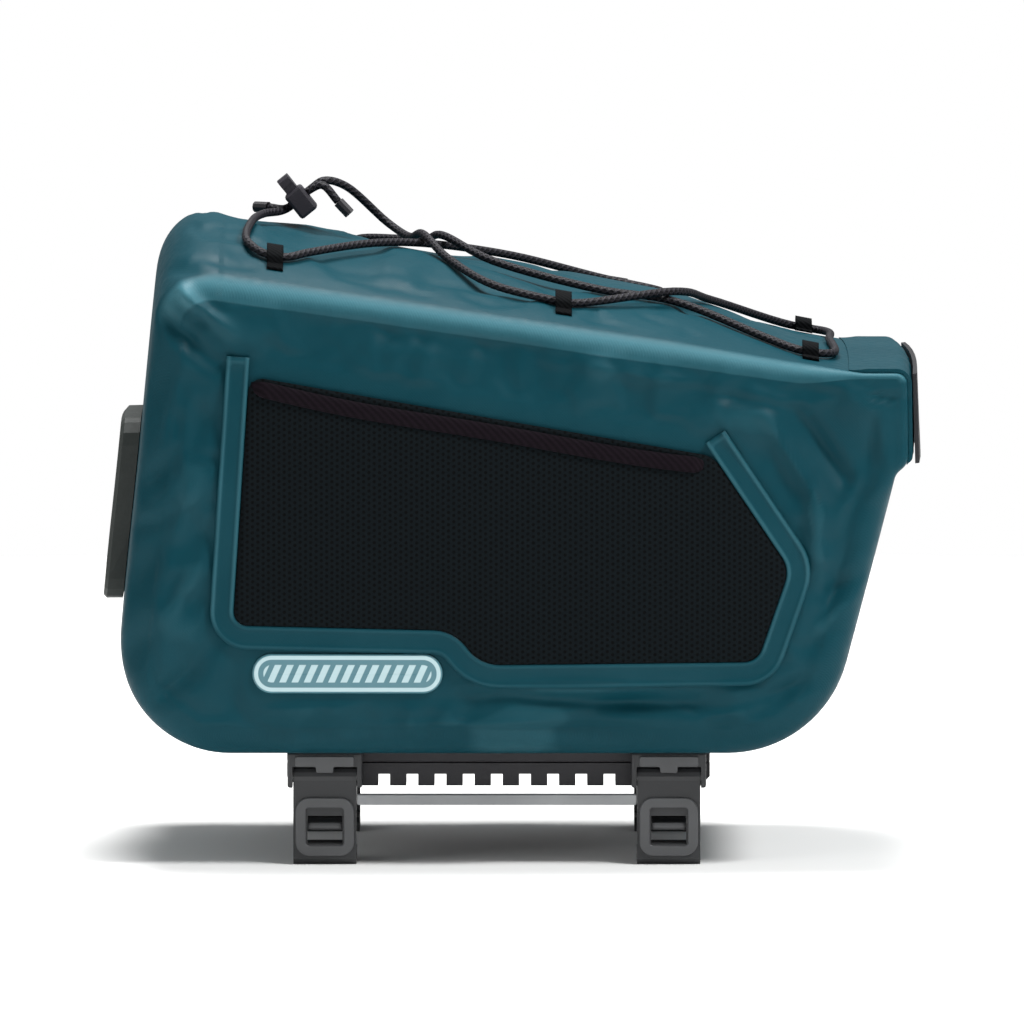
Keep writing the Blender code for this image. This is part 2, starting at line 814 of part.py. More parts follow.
def build_rear_plate(materials, root):
    """A thick rounded plate that follows the rear face at a small clearance."""
    top, bottom = OUTLINE_CORNERS[0], OUTLINE_CORNERS[1]
    lean = (top[0] - bottom[0]) / (top[1] - bottom[1])
    corners = [
        (sy * PLATE_WIDTH / 2, sz * PLATE_HEIGHT / 2, PLATE_RADIUS)
        for sy, sz in ((-1, -1), (1, -1), (1, 1), (-1, 1))
    ]
    loop, normals = rounded_outline(corners, COARSE_ARC_STEP)
    loop, normals = filled_outline(loop, normals, SMALL_RUN)
    layers = []
    for stand, inset in (
        (GAP, 0.0),
        (PLATE_THICKNESS - PLATE_CHAMFER, 0.0),
        (PLATE_THICKNESS, PLATE_CHAMFER),
    ):
        ring = loop - normals * inset
        points = np.zeros((len(ring), 3))
        points[:, 1] = ring[:, 0]
        points[:, 2] = PLATE_CENTRE_Z + ring[:, 1]
        points[:, 0] = bottom[0] + lean * (points[:, 2] - bottom[1]) - stand
        layers.append(points)
    count = len(loop)
    rings = []
    for points, shares in ((layers[0], PLATE_RINGS), (layers[2], PLATE_RINGS[::-1])):
        centre = points.mean(axis=0)
        rings.append([softened(centre + (points - centre) * share) for share in shares])
    side_ring = softened(layers[1])
    stack = rings[0] + [side_ring] + rings[1]
    verts = [stack[0].mean(axis=0)[None]] + stack + [stack[-1].mean(axis=0)[None]]
    verts = np.concatenate(verts)
    faces = []
    for j in range(count):
        k = (j + 1) % count
        faces.append((0, 1 + k, 1 + j))
        faces.append((len(verts) - 1, len(verts) - 1 - count + j, len(verts) - 1 - count + k))
        for ring in range(len(stack) - 1):
            a = 1 + ring * count
            faces.append((a + j, a + k, a + count + k, a + count + j))
    make_mesh_object("rear_plate", verts, faces, materials["plate"], root)


def clamp_places():
    for end, label in ((-1, "rear"), (1, "front")):
        yield CLAMP_CENTRE_X + end * CLAMP_SPACING / 2, label


def rail_outline():
    """Side outline of a toothed rail: full blocks at the clamps, notches between."""
    low_x = ADAPTER_CENTRE_X - ADAPTER_LENGTH / 2
    high_x = ADAPTER_CENTRE_X + ADAPTER_LENGTH / 2
    points = [(low_x, TOOTH_TOP - GAP), (low_x, TOOTH_BOTTOM + RAIL_CHAMFER)]
    rear, front = [x for x, label in clamp_places()]
    jaw_half = HOOK_WIDTH / 2
    points += [
        (low_x + RAIL_CHAMFER, TOOTH_BOTTOM),
        (rear - jaw_half, TOOTH_BOTTOM),
        (rear - jaw_half, JAW_ROOF_Z),
        (rear + jaw_half, JAW_ROOF_Z),
        (rear + jaw_half, TOOTH_BOTTOM),
    ]
    middle = (rear + front) / 2
    for i in range(NOTCH_COUNT):
        x = middle + (i - (NOTCH_COUNT - 1) / 2) * NOTCH_PITCH
        points += [
            (x - NOTCH_WIDTH / 2, TOOTH_BOTTOM),
            (x - NOTCH_WIDTH / 2, TOOTH_BOTTOM + NOTCH_HEIGHT),
            (x + NOTCH_WIDTH / 2, TOOTH_BOTTOM + NOTCH_HEIGHT),
            (x + NOTCH_WIDTH / 2, TOOTH_BOTTOM),
        ]
    points += [
        (front - jaw_half, TOOTH_BOTTOM),
        (front - jaw_half, JAW_ROOF_Z),
        (front + jaw_half, JAW_ROOF_Z),
        (front + jaw_half, TOOTH_BOTTOM),
        (high_x - RAIL_CHAMFER, TOOTH_BOTTOM),
        (high_x, TOOTH_BOTTOM + RAIL_CHAMFER),
        (high_x, TOOTH_TOP - GAP),
    ]
    return points


RAIL_OUTER = ADAPTER_HALF_WIDTH
BLOCK_INNER = RAIL_OUTER + GAP
PIVOT_Y = BLOCK_INNER + BLOCK_DEPTH / 2
HOOK_OUTER = PIVOT_Y + KNUCKLE_RADIUS
HOOK_INNER_END = HOOK_OUTER - HOOK_REACH - HOOK_WALL


def hook_outline():
    """Hook section seen along X: knuckle, outer wall and the lip under the rack tube.

    Distances are measured outwards from the middle plane.
    """
    points = []
    for step in range(9):
        angle = math.radians(-20 + 200 * step / 8)
        points.append(
            (
                PIVOT_Y + KNUCKLE_RADIUS * math.cos(angle),
                PIVOT_Z + KNUCKLE_RADIUS * math.sin(angle),
            )
        )
    wall_inner = HOOK_OUTER - HOOK_WALL
    nose = HOOK_LIP / 3
    points += [
        (PIVOT_Y - KNUCKLE_RADIUS, PIVOT_Z - KNUCKLE_RADIUS),
        (wall_inner, PIVOT_Z - KNUCKLE_RADIUS * 2),
        (wall_inner, HOOK_LIP),
        (HOOK_INNER_END + nose, HOOK_LIP),
        (HOOK_INNER_END, HOOK_LIP - nose),
        (HOOK_INNER_END, 0.0),
        (HOOK_OUTER - HOOK_CHAMFER, 0.0),
        (HOOK_OUTER, HOOK_CHAMFER),
    ]
    return points


def build_adapter(materials, root):
    low_x = ADAPTER_CENTRE_X - ADAPTER_LENGTH / 2
    high_x = ADAPTER_CENTRE_X + ADAPTER_LENGTH / 2
    box(
        "adapter_plate",
        (low_x, -ADAPTER_HALF_WIDTH, TOOTH_TOP),
        (high_x, ADAPTER_HALF_WIDTH, BODY_BOTTOM - GAP),
        materials["grey"],
        root,
        bevel=ADAPTER_BEVEL,
    )
    for side, label in ((-1, "right"), (1, "left")):
        levels = sorted((side * RAIL_OUTER, side * (RAIL_OUTER - JAW_ROOF_DEPTH)))
        prism(
            f"rail_{label}",
            rail_outline(),
            "y",
            *levels,
            materials["grey"],
            root,
        )


def build_clamps(materials, root, latch):
    """Four clamps. The right pair is hinged on pins, the left pair is fixed."""
    for side, side_label in ((-1, "right"), (1, "left")):
        for x, end_label in clamp_places():
            label = f"{side_label}_{end_label}"
            hinged = side < 0
            block = build_block(label, side, x, materials, root)
            hook = build_hook(label, side, x, materials, latch if hinged else root)
            if hinged:
                pivot = (side * PIVOT_Y, PIVOT_Z)
                pin_half = BLOCK_WIDTH / 2
                for thing in (block, hook):
                    low, high = x - pin_half - CHEEK, x + pin_half + CHEEK
                    cut_hole_along_x(thing, pivot, PIN_RADIUS + GAP, low, high)
                prism(
                    f"hook_pin_{end_label}",
                    circle(pivot, PIN_RADIUS),
                    "x",
                    x - pin_half,
                    x + pin_half,
                    materials["steel"],
                    root,
                )


def build_block(label, side, x, materials, root):
    """A clamp block: two cheeks and a roof around the knuckle of the hook."""
    low, high = sorted((side * BLOCK_INNER, side * (BLOCK_INNER + BLOCK_DEPTH)))
    block = box(
        f"clamp_block_{label}",
        (x - BLOCK_WIDTH / 2, low, BLOCK_BOTTOM),
        (x + BLOCK_WIDTH / 2, high, BODY_BOTTOM - GAP),
        materials["grey"],
        root,
        bevel=BLOCK_BEVEL,
    )
    clear = BLOCK_WIDTH / 2 - CHEEK
    roof = PIVOT_Z + KNUCKLE_RADIUS + SLIDE_GAP
    cut_box(
        block,
        "knuckle_room",
        (x - clear, low - CHEEK, BLOCK_BOTTOM - CHEEK),
        (x + clear, high + CHEEK, roof),
    )
    return block


def build_hook(label, side, x, materials, parent):
    """A hook with a window in its outer wall and a rubber pad on its lip."""
    half = HOOK_WIDTH / 2
    hook = prism(
        f"clamp_hook_{label}",
        [(side * y, z) for y, z in hook_outline()],
        "x",
        x - half,
        x + half,
        materials["dark_grey"],
        parent,
    )
    low, high = sorted(
        (side * (HOOK_OUTER + HOOK_WALL), side * (HOOK_OUTER - 2 * HOOK_WALL))
    )
    cut_box(
        hook,
        "window",
        (x - WINDOW_WIDTH / 2, low, WINDOW_LOW),
        (x + WINDOW_WIDTH / 2, high, WINDOW_HIGH),
    )
    pad_outer = side * (HOOK_OUTER - HOOK_WALL - PAD_MARGIN)
    pad_inner = side * (HOOK_INNER_END + HOOK_LIP / 3 + PAD_MARGIN)
    pad_low, pad_high = sorted((pad_outer, pad_inner))
    box(
        f"jaw_pad_{label}",
        (x - half + PAD_MARGIN, pad_low, HOOK_LIP + GAP),
        (x + half - PAD_MARGIN, pad_high, HOOK_LIP + GAP + PAD_THICKNESS),
        materials["rubber"],
        parent,
    )
    return hook


def build_release_bar(materials, latch):
    """The bar that joins both right hooks, so that they open together."""
    rear, front = [x for x, label in clamp_places()]
    box(
        "release_bar",
        (rear + HOOK_WIDTH / 2 + GAP, -HOOK_OUTER, BAR_BOTTOM),
        (
            front - HOOK_WIDTH / 2 - GAP,
            BAR_DEPTH - HOOK_OUTER,
            BAR_BOTTOM + BAR_HEIGHT,
        ),
        materials["light_grey"],
        latch,
        bevel=BAR_BEVEL,
    )


def build_cord_lock(materials, barrel_axis, plunger_axis):
    """A sprung cord lock: a hollow barrel and a plunger, both slotted for two strands."""
    slot_low = BARREL_WALL + PLUNGER_TRAVEL + SLIDE_GAP + BARREL_WALL
    slot_high = slot_low + CORD_DIAMETER + 2 * SLIDE_GAP
    slot_half = STRAND_SPACING / 2 + CORD_DIAMETER / 2 + SLIDE_GAP
    half_depth, half_width = BARREL_DEPTH / 2, BARREL_WIDTH / 2
    barrel = box(
        "lock_barrel",
        (-half_depth, -half_width, 0),
        (half_depth, half_width, BARREL_LENGTH),
        materials["black"],
        barrel_axis,
        bevel=LOCK_BEVEL,
        local=True,
    )
    room_depth, room_width = half_depth - BARREL_WALL, half_width - BARREL_WALL
    cut_box(
        barrel,
        "room",
        (-room_depth, -room_width, BARREL_WALL),
        (room_depth, room_width, BARREL_LENGTH + BARREL_WALL),
        local=True,
    )
    cut_box(
        barrel,
        "slot",
        (-BARREL_DEPTH, -slot_half, slot_low),
        (BARREL_DEPTH, slot_half, slot_high),
        local=True,
    )
    stem_depth, stem_width = room_depth - SLIDE_GAP, room_width - SLIDE_GAP
    stem_low = slot_low - BARREL_WALL
    button_low = BARREL_LENGTH + PLUNGER_TRAVEL + SLIDE_GAP
    top = button_low + BUTTON_HEIGHT
    outline = [
        (-stem_width, stem_low),
        (stem_width, stem_low),
        (stem_width, button_low),
        (half_width - LOCK_BEVEL, button_low),
        (half_width - LOCK_BEVEL, top - LOCK_BEVEL),
        (half_width - 2 * LOCK_BEVEL, top),
        (2 * LOCK_BEVEL - half_width, top),
        (LOCK_BEVEL - half_width, top - LOCK_BEVEL),
        (LOCK_BEVEL - half_width, button_low),
        (-stem_width, button_low),
    ]
    plunger = prism(
        "lock_plunger",
        outline,
        "x",
        -stem_depth,
        stem_depth,
        materials["black"],
        plunger_axis,
        local=True,
    )
    cut_box(
        plunger,
        "slot",
        (-BARREL_DEPTH, -slot_half, slot_low),
        (BARREL_DEPTH, slot_half, slot_high + PLUNGER_TRAVEL),
        local=True,
    )


def build_cord_loops(materials, root):
    """Cloth arches over the cord, standing on the top panel along both edges."""
    opening = LOOP_OPENING / 2
    outer = opening + LOOP_CLOTH
    rise = opening * LOOP_ARCH
    spring_line = LOOP_HEIGHT - rise
    for name, side, x, share in CORD_LOOPS:
        outline = [(-outer - LOOP_FOOT, 0.0), (-outer - LOOP_FOOT, LOOP_CLOTH)]
        outline += [(-outer, LOOP_CLOTH)]
        for step in range(LOOP_ARC_STEPS + 1):
            angle = math.pi * (1 - step / LOOP_ARC_STEPS)
            height = spring_line + (rise + LOOP_CLOTH) * math.sin(angle)
            outline.append((outer * math.cos(angle), height))
        outline += [(outer, LOOP_CLOTH), (outer + LOOP_FOOT, LOOP_CLOTH), (outer + LOOP_FOOT, 0.0)]
        outline += [(opening, 0.0)]
        for step in range(LOOP_ARC_STEPS + 1):
            angle = math.pi * step / LOOP_ARC_STEPS
            height = spring_line + rise * math.sin(angle)
            outline.append((opening * math.cos(angle), height))
        outline += [(-opening, 0.0)]
        centre_y = side * share * BODY_WIDTH / 2
        count = len(outline)
        layers = []
        for end in (-1, 1):
            layer = np.zeros((count, 3))
            layer[:, 0] = x + end * LOOP_LENGTH / 2
            layer[:, 1] = [centre_y + point[0] for point in outline]
            layer[:, 2] = [point[1] + GAP for point in outline]
            layer[:, 2] += ridge_height(layer[:, 0])
            layers.append(softened(layer))
        faces = [tuple(range(count)), tuple(range(2 * count - 1, count - 1, -1))]
        for i in range(count):
            k = (i + 1) % count
            faces.append((i, k, count + k, count + i))
        make_mesh_object(
            f"cord_loop_{name}", np.concatenate(layers), faces, materials["webbing"], root
        )


def cord_points():
    """Points read from a centripetal Catmull-Rom curve through the route."""
    route = [Vector(row[:3]) * MM for row in CORD_ROUTE]
    for point in route:
        point.z += ridge_height(point.x)
    ends = [2 * route[0] - route[1]] + route + [2 * route[-1] - route[-2]]
    points = []
    for i, row in enumerate(CORD_ROUTE[:-1]):
        a, b, c, d = ends[i : i + 4]
        knots = [0.0]
        for first, second in ((a, b), (b, c), (c, d)):
            knots.append(knots[-1] + math.sqrt((second - first).length))
        for step in range(row[3]):
            t = knots[1] + (knots[2] - knots[1]) * step / row[3]
            ab = a.lerp(b, t / knots[1])
            bc = b.lerp(c, (t - knots[1]) / (knots[2] - knots[1]))
            cd = c.lerp(d, (t - knots[2]) / (knots[3] - knots[2]))
            abc = ab.lerp(bc, t / knots[2])
            bcd = bc.lerp(cd, (t - knots[1]) / (knots[3] - knots[1]))
            points.append(abc.lerp(bcd, (t - knots[1]) / (knots[2] - knots[1])))
    return points + [route[-1]]


def build_cord(materials, root):
    """The elastic cord and the short cap on each of its ends."""
    points = cord_points()
    curve = bpy.data.curves.new("bungee_cord", "CURVE")
    curve.dimensions = "3D"
    curve.bevel_depth = CORD_DIAMETER / 2
    curve.bevel_resolution = 2
    curve.use_fill_caps = True
    spline = curve.splines.new("POLY")
    spline.points.add(len(points) - 1)
    for target, point in zip(spline.points, points):
        target.co = (*point, 1.0)
    curve.materials.append(materials["cord"])
    cord = bpy.data.objects.new("bungee_cord", curve)
    cord.parent = root
    cord.matrix_parent_inverse = root.matrix_basis.inverted()
    bpy.context.collection.objects.link(cord)
    for label, end, before in (("first", points[0], points[1]), ("last", points[-1], points[-2])):
        outward = (end - before).normalized()
        cap = prism(
            f"cord_end_{label}",
            circle((0, 0), CORD_END_RADIUS, CORD_END_SIDES),
            "z",
            GAP,
            GAP + CORD_END_LENGTH,
            materials["black"],
            root,
            local=True,
        )
        cap.location = end
        cap.rotation_mode = "QUATERNION"
        cap.rotation_quaternion = outward.to_track_quat("Z", "Y")


def main():
    for thing in list(bpy.data.objects):
        bpy.data.objects.remove(thing, do_unlink=True)
    materials = {
        "cloth": make_material("petrol_coated_cloth", (0.010, 0.050, 0.068), 0.48),
        "mesh": make_material("black_mesh", (0.012, 0.014, 0.015), 0.85),
        "patch": make_material("reflective_film", (0.45, 0.58, 0.62), 0.35),
        "plate": make_material("olive_black_plate", (0.030, 0.038, 0.034), 0.55),
        "black": make_material("black_strip", (0.012, 0.012, 0.013), 0.5),
        "grey": make_material("grey_plastic", (0.10, 0.105, 0.11), 0.5),
        "dark_grey": make_material("dark_plastic", (0.035, 0.037, 0.040), 0.5),
        "steel": make_material("steel_pin", (0.55, 0.56, 0.57), 0.3, 1.0),
        "light_grey": make_material("light_grey_plastic", (0.30, 0.31, 0.32), 0.45),
        "rubber": make_material("rubber_pad", (0.010, 0.010, 0.010), 0.8),
        "webbing": make_material("black_webbing", (0.015, 0.016, 0.018), 0.8),
        "cord": make_material("elastic_cord", (0.025, 0.025, 0.032), 0.75),
    }
    root = make_empty("bag", (0, 0, 0))
    latch = make_empty("latch_axis", (0, -PIVOT_Y, PIVOT_Z), parent=root)
    build_body(materials, root)
    build_pockets(materials, root)
    build_closure(materials, root)
    build_rear_plate(materials, root)
    build_adapter(materials, root)
    build_clamps(materials, root, latch)
    build_release_bar(materials, latch)
    build_cord_loops(materials, root)
    lock_point = (LOCK_X, LOCK_Y, ridge_height(LOCK_X) + LOCK_RISE)
    barrel_axis = make_empty("barrel_axis", lock_point, LOCK_TILT, root)
    plunger_axis = make_empty("plunger_axis", lock_point, LOCK_TILT, root)
    build_cord_lock(materials, barrel_axis, plunger_axis)
    build_cord(materials, root)


if __name__ == "__main__":
    main()
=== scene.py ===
"""Bicycle trunk bag: cloth, net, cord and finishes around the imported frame.

+X points forward, +Y to the left side, +Z up, in metres. The soft body is one closed surface: its side
outline is carried from the middle of one side, over the edge round and across, to the middle of the other,
and one smooth field gives it crown, swell and folds. What lies on the cloth uses the same field.
"""

import math

import bmesh
import bpy
import numpy as np
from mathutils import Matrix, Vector


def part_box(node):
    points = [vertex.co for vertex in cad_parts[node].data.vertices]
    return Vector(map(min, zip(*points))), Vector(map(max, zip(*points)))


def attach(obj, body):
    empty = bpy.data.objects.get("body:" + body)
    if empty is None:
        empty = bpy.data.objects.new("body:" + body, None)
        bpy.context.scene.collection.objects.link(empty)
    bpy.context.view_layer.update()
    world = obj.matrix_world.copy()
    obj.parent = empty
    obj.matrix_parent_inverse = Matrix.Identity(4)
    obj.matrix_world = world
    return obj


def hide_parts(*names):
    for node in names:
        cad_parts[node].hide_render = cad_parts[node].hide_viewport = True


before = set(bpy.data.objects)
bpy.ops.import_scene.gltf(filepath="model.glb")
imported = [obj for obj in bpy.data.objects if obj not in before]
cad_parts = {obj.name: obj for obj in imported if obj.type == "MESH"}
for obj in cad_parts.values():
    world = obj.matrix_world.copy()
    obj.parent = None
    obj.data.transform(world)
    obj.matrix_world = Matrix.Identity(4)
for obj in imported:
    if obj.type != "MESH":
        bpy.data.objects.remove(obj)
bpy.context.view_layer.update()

bl_info = {
    "name": "Bicycle Trunk Bag",
    "version": (1, 0, 0),
    "blender": (4, 5, 0),
    "location": "View3D > Sidebar > Trunk Bag",
    "description": "Builds the cloth, net, cord and finishes of a bicycle trunk bag on its rack adapter",
    "category": "Object",
}

MM = 0.001
SIDES = ((-1, "right"), (1, "left"))
PATCH_LOW, PATCH_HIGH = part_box("reflector_patch_right")

# Soft body, the same sizes as the solids have
BODY_LENGTH = 336 * MM
BODY_HEIGHT = 206 * MM
BODY_WIDTH = 190 * MM
BODY_BOTTOM = 48.5 * MM
BODY_SETBACK = 3.71 * MM
BODY_REAR_X = -BODY_LENGTH / 2 - BODY_SETBACK
EDGE_RADIUS = 9 * MM
CROWN_START = 0.5
MOST_TOP_RIDGE = 0.4 * MM
MOST_TOP_RISE = 0.2 * MM

# How strongly a paler highlight is painted on the cloth's top seam, its raised folds and the pocket
# border's beads
HIGHLIGHT_SEAM = 0.85
HIGHLIGHT_FOLD = 0.25
HIGHLIGHT_BEAD = 0.6
LAY_GAP = 0.45 * MM
NET_CLOTH = 1.2 * MM
NET_INSET = 0.3 * MM

# Side outline of the body: share of length, share of height, corner radius
SIDE_OUTLINE = [
    ("rear_top", 0.066, 1.000, 24 * MM),
    ("rear_bottom", 0.000, 0.000, 46 * MM),
    ("front_bottom", 0.905, 0.000, 52 * MM),
    ("front_waist", 0.999, 0.590, 60 * MM),
    ("front_top", 0.985, 0.786, 13 * MM),
]

# Crown of the top: share of length, share of the crown height
CROWN_TABLE = [
    ("rear", 0.05, 1.00),
    ("quarter", 0.26, 0.90),
    ("middle", 0.52, 0.78),
    ("three_quarter", 0.72, 0.64),
    ("before_roll", 0.86, 0.22),
    ("roll", 0.97, 0.06),
]

# Folds of the side cloth: shares of length and height for the centre, of length for both half sizes,
# the turn in degrees and the depth as a share of the width. A negative depth stands proud.
FOLDS = [
    ("rear_upper_dent", 0.045, 0.38, 0.050, 0.018, 70, 0.026),
    ("rear_lower_dent", 0.030, 0.22, 0.055, 0.020, 60, 0.028),
    ("rear_ridge", 0.060, 0.30, 0.070, 0.014, 84, -0.012),
    ("front_upper_fold", 0.930, 0.42, 0.060, 0.016, 75, 0.020),
    ("front_lower_fold", 0.900, 0.26, 0.055, 0.016, 62, 0.018),
    ("bottom_fold_rear", 0.230, 0.050, 0.100, 0.016, 4, 0.016),
    ("bottom_fold_front", 0.640, 0.045, 0.120, 0.016, -5, 0.016),
]

# Finer wrinkles of the side cloth, in the same columns, with the depth in millimetres
WRINKLES = [
    ("rear_corner_fold", 0.105, 0.945, 0.055, 0.009, -38, -2.3),
    ("rear_corner_valley", 0.090, 0.880, 0.060, 0.012, -42, 2.2),
    ("rear_high_dent", 0.060, 0.740, 0.045, 0.013, 78, 1.8),
    ("rear_high_ridge", 0.100, 0.680, 0.050, 0.009, 84, -0.9),
    ("rear_middle_dent", 0.062, 0.585, 0.035, 0.014, 50, 2.0),
    ("rear_middle_ridge", 0.095, 0.510, 0.045, 0.010, 72, -1.1),
    ("rear_low_dent", 0.055, 0.480, 0.030, 0.012, 20, 1.5),
    ("rear_low_ridge", 0.090, 0.330, 0.040, 0.010, 60, -0.9),
    ("rear_foot_dent", 0.085, 0.150, 0.045, 0.014, 42, 1.7),
    ("front_proud_fold", 0.868, 0.610, 0.060, 0.011, -58, -2.4),
    ("front_proud_bend", 0.896, 0.470, 0.045, 0.011, -84, -2.2),
    ("front_valley", 0.905, 0.640, 0.060, 0.012, -56, 2.4),
    ("front_high_fold", 0.945, 0.560, 0.045, 0.009, 66, -1.1),
    ("front_high_dent", 0.962, 0.620, 0.030, 0.010, 72, 1.3),
    ("front_middle_dent", 0.925, 0.350, 0.035, 0.012, 30, 1.6),
    ("front_middle_ridge", 0.915, 0.290, 0.040, 0.009, 48, -1.0),
    ("front_foot_dent", 0.850, 0.130, 0.050, 0.013, 24, 1.5),
    ("front_foot_ridge", 0.800, 0.095, 0.060, 0.008, 14, -0.8),
    ("bottom_ridge", 0.620, 0.142, 0.130, 0.007, -1, -1.0),
    ("bottom_valley", 0.640, 0.112, 0.140, 0.010, -2, 1.8),
    ("bottom_streak", 0.500, 0.070, 0.160, 0.007, 1, -0.7),
    ("bottom_rear_ridge", 0.250, 0.105, 0.060, 0.007, 3, -0.7),
    ("top_soft_wave", 0.430, 0.860, 0.150, 0.014, -9, 1.2),
    ("top_soft_ridge", 0.640, 0.800, 0.120, 0.010, -10, -0.8),
    ("top_front_wave", 0.800, 0.740, 0.070, 0.010, -12, 1.0),
    ("roll_tuck", 0.985, 0.742, 0.026, 0.006, -6, 1.1),
    ("roll_upright", 0.968, 0.690, 0.022, 0.009, 84, 0.8),
]

# Folds of the top cloth: shares of length and of the half width, half sizes, turn and depth in millimetres
TOP_FOLDS = [
    ("rear_tuck", 0.085, -0.800, 0.050, 0.010, -52, 1.8),
    ("rear_tuck_ridge", 0.115, -0.820, 0.045, 0.009, -50, -0.9),
    ("rear_tuck_left", 0.085, 0.800, 0.050, 0.010, 52, 1.8),
    ("rear_tuck_left_ridge", 0.115, 0.820, 0.045, 0.009, 50, -0.9),
    ("long_wave_right", 0.420, -0.640, 0.140, 0.014, 4, 1.2),
    ("long_wave_left", 0.480, 0.600, 0.150, 0.014, -5, 1.2),
    ("cross_wave_rear", 0.250, -0.100, 0.080, 0.016, 74, 1.0),
    ("cross_wave_middle", 0.560, 0.150, 0.090, 0.016, 82, 1.1),
    ("front_wave", 0.760, -0.250, 0.080, 0.014, 64, 1.3),
    ("front_wave_left", 0.800, 0.350, 0.070, 0.014, 112, 1.2),
]

# Pocket window: shares of length and height, corner radius as a share of the height
POCKET_WINDOW = [
    ("top_rear", 0.178, 0.790, 0.030),
    ("bottom_rear", 0.157, 0.272, 0.030),
    ("step_rear", 0.437, 0.262, 0.085),
    ("step_front", 0.470, 0.190, 0.085),
    ("bottom_front", 0.822, 0.196, 0.040),
    ("front_low", 0.863, 0.390, 0.060),
    ("top_front", 0.766, 0.625, 0.060),
]

# Waves of the net: length along the bag and up it for a turn of one radian, and depth
NET_WAVES = [(26 * MM, 60 * MM, 0.35 * MM), (11 * MM, -70 * MM, 0.10 * MM)]

# Cord loops: side (-1 right, 1 left), x in metres, share of the half width
CORD_LOOPS = [
    ("right_rear", -1, -101 * MM, 0.74),
    ("right_middle", -1, 22 * MM, 0.74),
    ("right_front", -1, 127 * MM, 0.74),
    ("left_rear", 1, -55 * MM, 0.74),
    ("left_middle", 1, 47 * MM, 0.74),
    ("left_front", 1, 127 * MM, 0.74),
]

# Route of the cord from its first end to its last: x, y and the height over the ridge line in mm
CORD_ROUTE = [
    (-75.1, 6, 34.7), (-81.8, 7.3, 40.7), (-86.9, 8.05, 38.2), (-97.3, 8.05, 28.3),
    (-107, -6, 25.7), (-112, -34, 22.9), (-113, -60, 16.6), (-105.5, -70, 13.2),
    (-96.5, -70.2, 12.9), (-87, -62, 15.6), (-60, -33, 21.5), (-38, -11, 23.1),
    (0, 25, 20.8), (40, 54, 14.5), (61, 58.5, 12.7), (65, 66.5, 11.3),
    (54, 70.6, 10.2), (-59.5, 70.4, 12.5), (-68.5, 65, 14.2), (-65, 55, 17.1),
    (-38, 22, 22.6), (-30, -2, 27.1), (-8, -28, 20.9), (38, -45, 16.3),
    (69, -40, 15.6), (108, -60, 7.1), (122, -70.3, 4.6), (131.5, -70, 4.3),
    (137, -62, 4.6), (137, 0, 5.8), (137, 62, 4.6), (131.5, 70, 4.3),
    (122, 70.3, 4.6), (86, 8, 15), (69.5, -38, 19.6), (26, -70.3, 10.7),
    (16, -70.3, 10.9), (-8, -64, 13.2), (-28, -36, 20.2), (-38.5, -11.5, 27.2),
    (-44.5, 10, 23.7), (-54, 23, 27.6), (-72, 18, 41.1), (-81.5, 12.6, 42.4),
    (-86.9, 11.95, 38.2), (-97.3, 11.95, 28.3), (-105, 17, 27.2),
]
CORD_DIAMETER = 3.5 * MM
CORD_SIDES = 14
CORD_SPAN_STEPS = 8

# Rolled closure
ROLL_HEIGHT = 45 * MM
ROLL_DEPTH = 10.4 * MM
ROLL_CLOTH = 1.5 * MM
ROLL_TAIL = 17 * MM
ROLL_TAPER = 0.45
ROLL_GAP = 0.3 * MM
ROLL_RISE = 2.7 * MM
ROLL_FOOT_RISE = 4 * MM
WAIST_SETBACK = 1 * MM
ROLL_FOOT_RADIUS = 7 * MM
ROLL_TOP_RADIUS = 5 * MM

# Fineness of the meshes
BODY_ARC_STEP = 4
BODY_RUN = 2.4 * MM
SIDE_STEPS = 60
EDGE_STEPS = 7
ACROSS_STEPS = 68
POCKET_RUN = 2.2 * MM
WINDOW_ARC_STEP = 10
NET_STEPS = 34
HEM_STEPS = 120
HEM_SIDES = 16
BORDER_STEPS = 14

# Camera and stage
CAMERA_ELEVATION = 5
CAMERA_DISTANCE = 6.0
CAMERA_LENS = 488
CAMERA_REACH = 50
AIM_POINT = (0.0, 0.0, 0.1445)
FLOOR_RADIUS = 1.4
FLOOR_SIDES = 96
WORLD_LIGHT = 0.32

# Square lamps: place, width in metres, power in watts
LAMPS = [
    ("key", (1.25, -0.85, 1.9), 0.55, 50),
    ("fill", (-1.7, -1.3, 0.7), 0.9, 7),
    ("overhead", (-0.1, 0.35, 2.0), 0.9, 60),
]


def linear(hex_colour):
    """sRGB hex to linear red, green and blue."""
    channels = np.array([int(hex_colour[i : i + 2], 16) for i in (0, 2, 4)]) / 255
    low = channels / 12.92
    high = ((channels + 0.055) / 1.055) ** 2.4
    return tuple(float(v) for v in np.where(channels <= 0.04045, low, high))


def colour_property(name, description, hex_colour):
    return bpy.props.FloatVectorProperty(
        name=name,
        description=description,
        subtype="COLOR",
        size=3,
        min=0,
        max=1,
        default=linear(hex_colour),
    )


def length_property(name, description, value):
    return bpy.props.FloatProperty(
        name=name, description=description, default=value, min=0, unit="LENGTH"
    )


